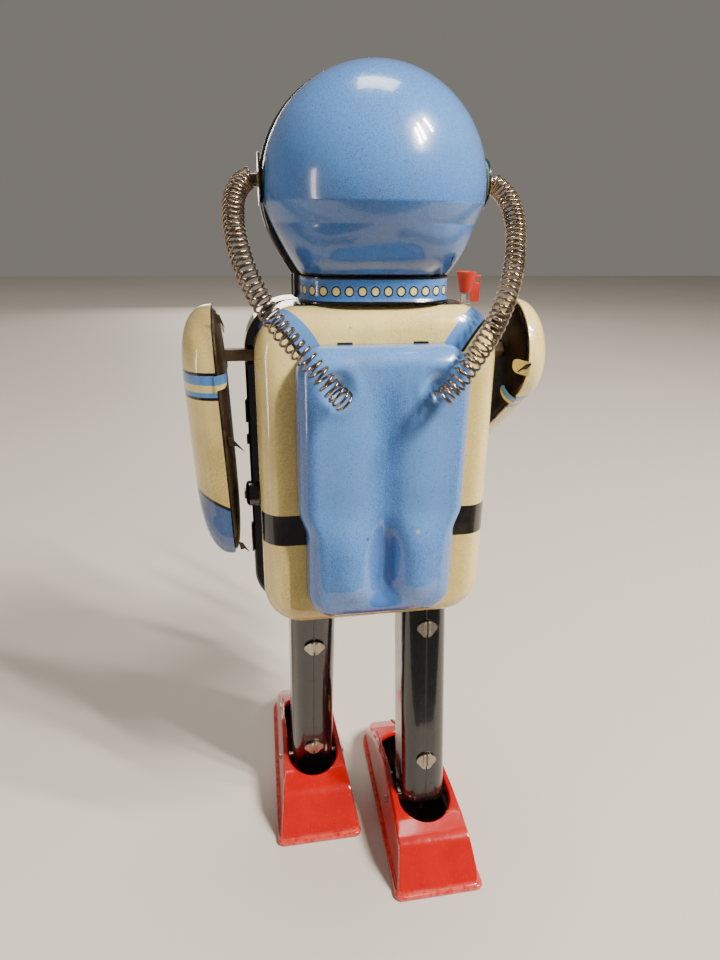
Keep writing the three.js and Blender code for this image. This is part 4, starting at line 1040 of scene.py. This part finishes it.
# ---------------------------------------------------------------- backpack
def pack_outline(inset):
    """The pack seen from behind: wide above the step, narrower below it."""
    low, wide = PACK_LOWER - inset, PACK_UPPER - inset
    turn = max(7 - inset, 1.2)
    points = [
        corner(low - turn, PACK_LOW + inset + turn, turn, turn, 0, -90, 16),
        corner(-low + turn, PACK_LOW + inset + turn, turn, turn, -90, -180, 16),
    ]
    z = np.linspace(PACK_STEP - 2.5, PACK_STEP + 5.5, 14)
    half = low + (wide - low) * smooth((z - z[0]) / (z[-1] - z[0]))
    points.append(np.column_stack([-half, z]))
    points.append(corner(-wide + turn, PACK_TOP - inset - turn, turn, turn, 180, 90, 16))
    points.append(corner(wide - turn, PACK_TOP - inset - turn, turn, turn, 90, 0, 16))
    points.append(np.column_stack([half, z])[::-1])
    return evenly(np.vstack(points), 360)


def pack_height(x, z):
    """How far the pressed panel stands from the body's back."""
    lower = smooth((PACK_STEP + 6 - z) / 12)
    lobe = np.exp(-((np.abs(x) - TANK_X) / TANK_HALF) ** 2)
    top_fade = smooth((160 - z) / 22)
    swell = lobe * (0.9 * top_fade + 1.9 * lower)
    round_end = smooth((z - 91.5) / 9)
    dip = np.exp(-((x + 0.8) / 3.6) ** 2) * (0.9 * top_fade + 2.3 * lower)
    height = 7.5 + (swell - dip) * round_end + 0.35 * smooth((z - 120) / 10)
    for side in (-1, 1):
        # the hollowed, slightly swollen seat where each hose goes in
        out = np.hypot(x - side * 11.9, (z - 152.6) * 0.85)
        height = height + 0.4 * np.exp(-((out - 4.4) / 1.6) ** 2) - 1.7 * np.exp(-(out / 2.5) ** 2)
    return height


def backpack():
    """The pressed pack with its two tanks, and the lugs that hold it at the top."""
    rings = []
    for y in (0.32, 1.2, PACK_EDGE):
        flat = pack_outline(0.0)
        rings.append(np.column_stack([flat[:, 0], np.full(len(flat), y), flat[:, 1]]))
    edge, steps = 4.6, 14
    for i in range(1, steps + 1):
        t = i / steps * math.pi / 2
        flat = pack_outline(edge * (1 - math.cos(t)))
        y = PACK_EDGE + (pack_height(flat[:, 0], flat[:, 1]) - PACK_EDGE) * math.sin(t)
        rings.append(np.column_stack([flat[:, 0], y, flat[:, 1]]))
    last = rings[-1][:, [0, 2]]
    spine = np.clip(last[:, 1], PACK_LOW + 22, PACK_TOP - 20)
    centre = np.column_stack([np.zeros(len(last)), spine])
    for s in np.linspace(0, 1, 46)[1:]:
        flat = last + (centre - last) * s
        rings.append(np.column_stack([flat[:, 0], pack_height(flat[:, 0], flat[:, 1]), flat[:, 1]]))
    obj = build("backpack", skin(rings), wall=TIN, clean=0.02)
    finish_piece(obj, "robot_body", "blue_tin", M_PACK, "backpack_shell")

    tabs = []
    for x in (-9.4, 9.4):
        tabs.append(block((x - 1.9, 0.28, PACK_TOP - 0.3), (x + 1.9, 0.75, PACK_TOP + 0.5)))
    lug = build("pack_lugs", together(*tabs))
    soften(lug, 0.12)
    finish_piece(lug, "robot_body", "dark_tin", M_DARK)


# ---------------------------------------------------------------- air hoses
def coil_pitch(share):
    """Length of one turn: close at the ear, drawn apart on the way, closer again at the pack."""
    return 1.3 + 0.62 * smooth((share - 0.2) / 0.35) - 0.6 * smooth((share - 0.88) / 0.1)


def hose(side, name):
    """An air hose: a coil spring of slightly uneven turns along the route."""
    route = curve_through([(side * x, y, z) for x, y, z in HOSE_ROUTE], 900)
    run = np.r_[0, np.cumsum(np.linalg.norm(np.diff(route, axis=0), axis=1))]
    total = run[-1]
    fine = np.linspace(0, total, 4000)
    turns = np.r_[0, np.cumsum(np.diff(fine) / coil_pitch(fine[:-1] / total))]
    steps = int(turns[-1] * 22)
    at = np.interp(np.linspace(0, turns[-1], steps), turns, fine)
    angle = np.linspace(0, turns[-1], steps) * 2 * math.pi * side
    middle = np.column_stack([np.interp(at, run, route[:, k]) for k in range(3)])
    along = np.gradient(middle, axis=0)
    along /= np.linalg.norm(along, axis=1)[:, None]
    u = np.cross(along[0], (0, 0, 1.0))
    coil = []
    rng = np.random.default_rng(11 + side)
    wobble = np.interp(np.arange(steps), np.linspace(0, steps, 40), rng.normal(0, 0.05, 40))
    for p, tangent, a, w in zip(middle, along, angle, wobble):
        u = u - tangent * (u @ tangent)
        u /= np.linalg.norm(u)
        v = np.cross(tangent, u)
        radius = COIL_RADIUS + w * 0.6
        coil.append(p + radius * (math.cos(a) * u + math.sin(a) * v) + tangent * w)
    wire = build(f"{name}_hose_coil", swept(coil, WIRE_RADIUS, 8), sharp=60)
    finish_piece(wire, "robot_body", "spring_steel", M_SPRING, f"{name}_hose_spring")


# ---------------------------------------------------------------- arms
def arm_half(t):
    """Half the width of an arm, from the top of the shoulder (0) to the fingertips (1)."""
    width = 15.3 + (10.6 - 15.3) * np.minimum(1, t * 1.25) ** 1.2
    top = np.sqrt(np.clip(1 - np.clip(1 - t / 0.2, 0, 1) ** 2, 0, 1))
    tip = np.sqrt(np.clip(1 - np.clip(1 - (1 - t) / 0.16, 0, 1) ** 2.2, 0, 1))
    return width * top * tip


def arm_outline(inset, count=220):
    """The arm seen from its side, as (y, z) about the shaft."""
    t = 0.5 - 0.5 * np.cos(np.linspace(0, math.pi, 160))
    half = np.maximum(arm_half(t) - inset, 0)
    z = ARM_TOP - inset - (ARM_TOP - ARM_TIP - 2 * inset) * t
    ring = np.vstack([np.column_stack([-half, z]), np.column_stack([half, z])[::-1][1:-1]])
    return evenly(ring, count)


def arm_dome(depth, inset, power, steps=18):
    """Rings of a pressed half arm that bulges along +X from its flat rim."""
    rim = arm_outline(inset)
    middle = (ARM_TOP + ARM_TIP) / 2 + 6
    rings = []
    for i in range(steps + 1):
        t = i / steps * math.pi / 2
        x = depth * math.sin(t) ** (2 / power)
        wide = max(math.cos(t), 0.0) ** (2 / power)
        long = 1 - (1 - wide) * (0.62 if wide > 0.45 else 0.62 + (0.45 - wide) * 0.4)
        y = rim[:, 0] * wide
        z = middle + (rim[:, 1] - middle) * long
        rings.append(np.column_stack([np.full(len(rim), x), y, z]))
    return rings


def arm(side, name, turn, material):
    """One arm: domed outer shell, shallow inner shell, folded tabs and the burrs on the seam."""
    own = Matrix.Translation((0, SHAFT_Y, SHAFT_Z)) @ Matrix.Rotation(turn, 4, "X")
    mirror = Matrix.Scale(side, 4, (1, 0, 0))
    lean = Matrix.Rotation(ARM_LEAN, 4, "Y")
    on_rim = own @ mirror @ Matrix.Translation((ARM_X, 0, 0)) @ lean
    flip = Matrix.Scale(-1, 4, (1, 0, 0))
    inner_place = own @ mirror @ Matrix.Translation((ARM_X - 0.3, 0, 0)) @ lean @ flip
    square = block((24, -SHAFT_HALF, -SHAFT_HALF), (46.6, SHAFT_HALF, SHAFT_HALF))
    cuts = [moved(square, own @ mirror)]
    tab_spots = [(8.0, -1), (-4.6, -1), (-4.6, 1)]
    if side < 0:
        # the right arm also has the slot for the ray gun's tongue, and a fourth tab
        tongue = block((39.6, -16, -43.5), (41.4, -5.7, -39.1))
        cuts.append(moved(tongue, own @ mirror))
        tab_spots.append((8.0, 1))

    rings = arm_dome(8.86, 0.0, 2.5)
    shell = build(f"{name}_sleeve", moved(skin(rings), on_rim), wall=TIN, cuts=cuts, clean=0.02)
    finish_piece(shell, f"{name}_arm", "cream_tin", material, f"{name}_arm_outer_shell")

    rings = arm_dome(2.2, 0.95, 2.2)
    tray = build(f"{name}_tray", moved(skin(rings), inner_place), wall=TIN, cuts=cuts, clean=0.02)
    # the right arm's tray and burrs take the darker tray tin, which is painted shade
    bare = M_TRAY if side > 0 else M_TRAY_SHADED
    finish_piece(tray, f"{name}_arm", "bare_tin", bare, f"{name}_arm_inner_shell")

    folded = [tab_over(height, sign) for height, sign in tab_spots]
    tabs = build(f"{name}_tabs", moved(together(*folded), on_rim))
    finish_piece(tabs, f"{name}_arm", "cream_tin", material)

    spurs = [spur(12.6, 11.0, 1.0, 2.6), spur(11.2, -20.5, 2.9, 3.2), spur(8.4, -52.0, 1.4, 2.2)]
    burrs = build(f"{name}_burrs", moved(together(*spurs), on_rim), sharp=20)
    finish_piece(burrs, f"{name}_arm", "bare_tin", bare)


def spur(fore, height, out, fall):
    """A torn burr of bare tin that hooks out of the seam, towards the body."""
    outline = [(-1.2, height + 1.3), (-2.4, height + 0.7), (-2.5 - out, height - fall),
               (-2.2 - out * 0.4, height - fall * 0.45), (-1.6, height - 1.2)]
    rings = [np.array([(x, fore + y, z) for x, z in outline]) for y in (-0.2, 0.2)]
    return skin(rings, first_cap=True, last_cap=True)


def slab(rows, drop):
    """(points, faces) of a closed plate: a grid of rows, and the same grid moved by drop."""
    upper, faces = skin(rows, closed=False)
    count, cols, last = len(upper), len(rows[0]), len(rows) - 1
    solid = list(faces) + [tuple(i + count for i in f[::-1]) for f in faces]
    rim = list(range(cols))
    rim += [r * cols + cols - 1 for r in range(1, last + 1)]
    rim += [last * cols + c for c in range(cols - 2, -1, -1)]
    rim += [r * cols for r in range(last - 1, 0, -1)]
    for a, b in zip(rim, rim[1:] + rim[:1]):
        solid.append((a, b, b + count, a + count))
    return np.vstack([upper, upper + np.array(drop)]), solid


def tab_over(height, sign):
    """One cream lug, folded square from the sleeve's rim over the edge of the tray."""
    half, cols = 1.9, 9
    length = ARM_TOP - ARM_TIP
    low, edge, high = (float(arm_half((ARM_TOP - height - d) / length)) for d in (-0.5, 0, 0.5))
    rim = np.array([high - low, 1.0])
    rim /= np.linalg.norm(rim)
    inward = np.array([-rim[1], rim[0]])
    # each step of the fold: distance in from the rim, height on X and share of the full width
    fold = ((-0.3, 0.5, 1.05), (0.1, 0.0, 1), (0.55, -0.5, 1), (1.0, -0.95, 1), (1.6, -1.38, 1),
            (2.3, -1.7, 1), (3.0, -1.93, 0.97), (3.7, -2.1, 0.84), (4.3, -2.24, 0.6), (4.6, -2.3, 0.3))
    rows = []
    for along, x, wide in fold:
        across = np.linspace(-half * wide, half * wide, cols)[:, None] * rim
        flat = np.array([edge, height]) + along * inward + across
        rows.append(np.column_stack([np.full(cols, x), sign * flat[:, 0], flat[:, 1]]))
    return slab(rows, (-0.22, 0, 0))


# ---------------------------------------------------------------- ray gun
def ray_gun():
    """A plain toy ray gun, upright in the raised hand."""
    gun_x = -40.45
    own = Matrix.Translation((0, SHAFT_Y, SHAFT_Z)) @ Matrix.Rotation(-ARM_RAISE, 4, "X")
    place = own @ Matrix.Translation((gun_x, -16.5, -41)) @ Matrix.Rotation(ARM_RAISE, 4, "X")
    grip = turned([(0.01, -4), (1.2, -4), (2.0, -3.8), (2.6, -3.1), (2.9, -2.2), (3.05, 0),
                   (2.85, 0.3), (3.05, 0.6), (3.08, 3.4), (2.88, 3.7), (3.08, 4.0), (3.08, 7.6),
                   (2.9, 8.4), (2.4, 11.2), (2.2, 11.55), (0.01, 11.6)], 48)
    tongue = block((-0.55, -16, -43.1), (0.55, -6, -39.5))
    tongue = moved(tongue, own @ Matrix.Translation((gun_x, 0, 0)))
    body = build("gun_grip", together(moved(grip, place), tongue))
    finish_piece(body, "right_arm", "bright_trim", M_CHROME, "ray_gun_body")
    tube = turned([(0.01, 11.9), (1.6, 11.9), (1.7, 12.1), (1.7, 19.8), (1.95, 20.2), (2.1, 20.4),
                   (2.1, 21.2), (1.95, 21.4), (1.75, 21.6), (1.75, 24.2), (1.95, 24.4), (1.95, 25.0),
                   (1.75, 25.2), (1.75, 27.3), (0.01, 27.35)], 48)
    barrel = build("gun_barrel", moved(tube, place))
    finish_piece(barrel, "right_arm", "bright_trim", M_CHROME, "ray_gun_barrel")
    cone = turned([(0.01, 27.7), (1.85, 27.7), (2.0, 28.0), (2.2, 29.4), (3.2, 33.5), (3.3, 33.9),
                   (3.28, 34.3), (3.05, 34.4), (2.7, 34.2), (1.6, 33.3), (0.8, 32.6), (0.01, 32.5)], 48)
    fin = block((-4.9, -0.4, 24.6), (-1.7, 0.4, 33.2))
    hole = turned([(0.01, -2), (0.75, -2), (0.75, 2), (0.01, 2)], 24, "Y")
    hole = moved(hole, Matrix.Translation((-3.9, 0, 31.6)))
    muzzle = build("gun_muzzle", moved(cone, place))
    finish_piece(muzzle, "right_arm", "red_plastic", M_GUN_RED, "ray_gun_muzzle")
    clip = build("gun_fin", moved(fin, place), cuts=[moved(hole, place)])
    soften(clip, 0.14)
    finish_piece(clip, "right_arm", "red_plastic", M_GUN_RED)


# ---------------------------------------------------------------- legs and feet
def leg_matrix(side):
    """Where a leg's own frame stands in the stride: the hip pin is its origin."""
    lean = side * LEG_SWING
    lift = -LEG_LIFT if side > 0 else LEG_LIFT
    return (Matrix.Translation((side * LEG_X, HIP_Y, HIP_Z)) @ Matrix.Rotation(-lean, 4, "X")
            @ Matrix.Translation((0, 0, lift)))


def tube_ring(half_x, half_y, radius, z, count=120):
    """A rounded rectangle at height z."""
    flat = np.vstack([
        corner(half_x - radius, half_y - radius, radius, radius, 0, 90, 12),
        corner(-half_x + radius, half_y - radius, radius, radius, 90, 180, 12),
        corner(-half_x + radius, -half_y + radius, radius, radius, 180, 270, 12),
        corner(half_x - radius, -half_y + radius, radius, radius, 270, 360, 12),
    ])
    ring = evenly(flat, count)
    return np.column_stack([ring, np.full(count, z)])


def leg(side, name):
    """One black leg tube with its slots, and the ends of the strut's tabs."""
    own = leg_matrix(side)
    rings = []
    for z in (-81.0, -80.8, -60, -30, 0, 2.9, 3.0):
        grow = 0.0 if abs(z + 39) > 41 else 0.02
        rings.append(tube_ring(6.78 + grow, 8.88 + grow, 4.6, z))
    # slots for the tabs, for the hip pin and for the ankle pin
    cuts = [moved(block((-0.9, 4, -drop - 2.4), (0.9, 12, -drop + 2.4)), own) for drop in TAB_DROPS]
    travel = LEG_LIFT + 0.3
    cuts.append(moved(block((-9, -3, -3 - travel), (9, 3, 3 + travel)), own))
    cuts.append(moved(block((-9, -1.5, -83), (9, 1.5, -ANKLE_DROP + 1.5 + travel)), own))
    obj = build(f"{name}_leg_sleeve", moved(skin(rings), own), wall=TIN, cuts=cuts)
    finish_piece(obj, f"{name}_leg", "black_tin", M_BLACK, f"{name}_leg_tube")

    # the split ends of the strut's tabs stand up between their bent ears
    ends = []
    for drop in TAB_DROPS:
        for x in (-0.98, 0.28):
            ends.append(block((x, 9.55, -drop - 1.7), (x + 0.7, 10.15, -drop + 2.1)))
    bars = build(f"{name}_tab_ends", moved(together(*ends), own))
    soften(bars, 0.22)
    finish_piece(bars, f"{name}_leg", "plate_steel", M_STEEL)


def foot_plan(inset, count=300):
    """The foot seen from above, as (x, -forward)."""
    heel, toe = FOOT_HALF - inset, FOOT_HALF - 1.6 - inset
    rear, front = -inset, -FOOT_LONG + inset
    heel_turn, toe_turn = 2.2, 9
    flat = np.vstack([
        corner(heel - heel_turn, rear - heel_turn, heel_turn, heel_turn, 0, 90, 14),
        corner(-heel + heel_turn, rear - heel_turn, heel_turn, heel_turn, 90, 180, 14),
        corner(-toe + toe_turn, front + toe_turn, toe_turn, toe_turn, 180, 270, 20),
        corner(toe - toe_turn, front + toe_turn, toe_turn, toe_turn, 270, 360, 20),
    ])
    return from_heel(flat, count)


def from_heel(flat, count):
    """A closed outline as evenly spaced points that start at the middle of the heel."""
    dense = evenly(flat, 4000)
    rear = np.where(dense[:, 1] > dense[:, 1].max() - 2.0)[0]
    first = rear[int(np.argmin(np.abs(dense[rear, 0])))]
    return evenly(np.roll(dense, -first, 0), count)


def foot_height(forward):
    """Height of the foot's top at each distance forward of the heel."""
    fine = np.linspace(0, FOOT_LONG, 740)
    raw = np.interp(fine, FORWARD, HEIGHT)
    kernel = np.hanning(17)
    eased = np.convolve(np.pad(raw, 8, mode="edge"), kernel / kernel.sum(), "valid")
    return np.interp(forward, fine, eased)


def hole_outline(count, grow=0.0):
    """The long opening for the leg in the top of the foot."""
    radius = 8.1 + grow
    flat = np.vstack([
        corner(0, -14.5 + grow - radius, radius, radius, 0, 180, 60),
        corner(0, -57 - grow + radius, radius, radius, 180, 360, 60),
    ])
    return from_heel(flat, count)


def foot(side, name):
    """One pressed foot: rolled rim, leaning wall, rounded top and the turned-down opening."""
    lean = side * LEG_SWING
    heel_y = HIP_Y - math.sin(lean) * ANKLE_DROP + HEEL_BEHIND
    count = 300
    wall_low, wall_rise, top_blend = 2.3, 7.7, 2.2
    rings = []
    rim = ((0.75, 0.02), (0.3, 0.03), (0.06, 0.3), (0.0, 0.8), (0.06, 1.3), (0.3, 1.62), (0.7, 1.72),
           (0.95, 1.9), (1.06, wall_low))
    for inset, z in rim:
        rings.append(np.column_stack([foot_plan(inset, count), np.full(count, z)]))
    for inset in (1.3, 1.6, 1.9, 2.2, 2.5, 2.8, 3.1, 3.5, 4.0):
        flat = foot_plan(inset, count)
        wall = wall_low + (inset - 1.0) * wall_rise
        z = soft_min(np.full(count, wall), foot_height(-flat[:, 1]), top_blend)
        rings.append(np.column_stack([flat, z]))
    last = rings[-1][:, :2]
    edge = hole_outline(count, 0.7)
    for s in np.linspace(0, 1, 22)[1:]:
        flat = last + (edge - last) * s
        wall = wall_low + 3.0 * wall_rise + s * 30
        z = soft_min(np.full(count, wall), foot_height(-flat[:, 1]), top_blend)
        rings.append(np.column_stack([flat, z]))
    lip = rings[-1][:, 2]
    for grow, fall in ((0.35, 0.12), (0.1, 0.4), (0.0, 0.9), (0.0, 1.6)):
        rings.append(np.column_stack([hole_outline(count, grow), lip - fall]))
    own = Matrix.Translation((side * LEG_X, heel_y, 0))
    pin = moved(bar(1.25, -30, 30, -HEEL_BEHIND, 11), own)
    obj = build(f"{name}_shoe", moved(skin(rings), own), wall=TIN, cuts=[pin], clean=0.02, even=False)
    finish_piece(obj, f"{name}_foot", "red_tin", M_RED, f"{name}_foot_shell")


# ---------------------------------------------------------------- carried-over CAD parts
def carried_over():
    """Gives every CAD part that still shows its node material."""
    by_slot = {"plate_steel": M_STEEL, "brass": M_BRASS, "spring_steel": M_SPRING, "bare_tin": M_BAR,
               "dark_tin": M_DARK, "bright_trim": M_CHROME}
    slots = {row["node"]: row["material_slot"] for row in frame["record"]["subparts"]}
    for node, obj in frame["nodes"].items():
        if obj.hide_render:
            continue
        obj.data.materials.clear()
        # the sole plates deep inside the feet take the darker tray tin, as painted shade for the dark
        # inside of the shoe
        sole_in_shade = node.endswith("sole_plate")
        obj.data.materials.append(M_TRAY_SHADED if sole_in_shade else by_slot[slots[node]])
        obj.data.shade_smooth()
        obj.data.set_sharp_from_angle(angle=math.radians(32))


# ---------------------------------------------------------------- camera, light and floor
def camera():
    """A camera behind the robot and a little to its left, looking down on it."""
    pitch, yaw, roll = math.radians(20.87), math.radians(10.05), math.radians(0.65)
    flat = math.cos(pitch)
    ahead = Vector((-math.sin(yaw) * flat, -math.cos(yaw) * flat, -math.sin(pitch)))
    level = Vector((-math.cos(yaw), math.sin(yaw), 0))
    up = level.cross(ahead)
    right = level * math.cos(roll) + up * math.sin(roll)
    top = up * math.cos(roll) - level * math.sin(roll)
    data = bpy.data.cameras.new("camera")
    data.sensor_width = 36
    data.lens = 24.914
    data.clip_start = 0.005
    obj = bpy.data.objects.new("camera", data)
    turn = Matrix((right, top, -ahead)).transposed()
    obj.matrix_world = Matrix.Translation((0.03343, 0.18489, 0.1882)) @ turn.to_4x4()
    bpy.context.scene.collection.objects.link(obj)
    bpy.context.scene.camera = obj


def area_light(name, place, target, size, power, tint):
    data = bpy.data.lights.new(name, "AREA")
    data.shape = "RECTANGLE"
    data.size, data.size_y = size
    data.energy = power
    data.color = tint
    obj = bpy.data.objects.new(name, data)
    obj.location = place
    obj.rotation_euler = (Vector(target) - Vector(place)).to_track_quat("-Z", "Y").to_euler()
    bpy.context.scene.collection.objects.link(obj)


def studio():
    """Warm room light, a window at the left, and a pale sheet to stand on."""
    world = bpy.data.worlds.new("studio")
    world.use_nodes = True
    sky = world.node_tree.nodes["Background"]
    sky.inputs[0].default_value = (1.0, 0.93, 0.84, 1)
    sky.inputs[1].default_value = 0.2
    bpy.context.scene.world = world
    head = (0, 0, 0.18)
    warm = (1, 0.93, 0.83)
    # a ceiling lamp with three slim bulbs, behind the robot's right shoulder
    for k, (across, tall, power) in enumerate(((-0.14, 0.2, 9.0), (0.03, 0.26, 12.0), (0.12, 0.24, 12.0))):
        place = (-0.6 + across * 0.5, 0.5 + across, 1.0 - 0.05 * k)
        area_light(f"bulb_{k}", place, head, (0.035, tall), power, warm)
    area_light("window", (1.0, 0.36, 0.14), head, (0.09, 0.62), 3.0, (1, 0.88, 0.84))
    area_light("overhead", (-0.1, -0.3, 1.9), (0, 0, 0.1), (0.7, 0.5), 15.0, warm)
    area_light("front", (0.0, -1.5, 0.35), (0, 0, 0.12), (0.5, 0.4), 3.5, warm)

    mesh = bpy.data.meshes.new("floor")
    reach, near = 2.6, 0.12         # the sheet ends a little behind the robot's heels
    mesh.from_pydata([(-reach, -reach, 0), (reach, -reach, 0), (reach, near, 0), (-reach, near, 0)],
                     [], [(0, 1, 2, 3)])
    floor = bpy.data.objects.new("floor", mesh)
    bpy.context.scene.collection.objects.link(floor)
    paint = Paint("pale_floor")
    tone = paint.noise(0.004, 3, 0.5)
    paint.drive("Base Color", paint.mix(tone, linear(206, 200, 192), linear(198, 192, 184)))
    paint.set(Roughness=0.6)
    mesh.materials.append(paint.material)


helmet()
visor()
ears()
neck()
body()
backpack()
for sign, label in ((1, "left"), (-1, "right")):
    hose(sign, label)
    leg(sign, label)
    foot(sign, label)
arm(1, "left", 0.0, M_ARM_L)
arm(-1, "right", -ARM_RAISE, M_ARM_R)
ray_gun()
carried_over()
camera()
studio()
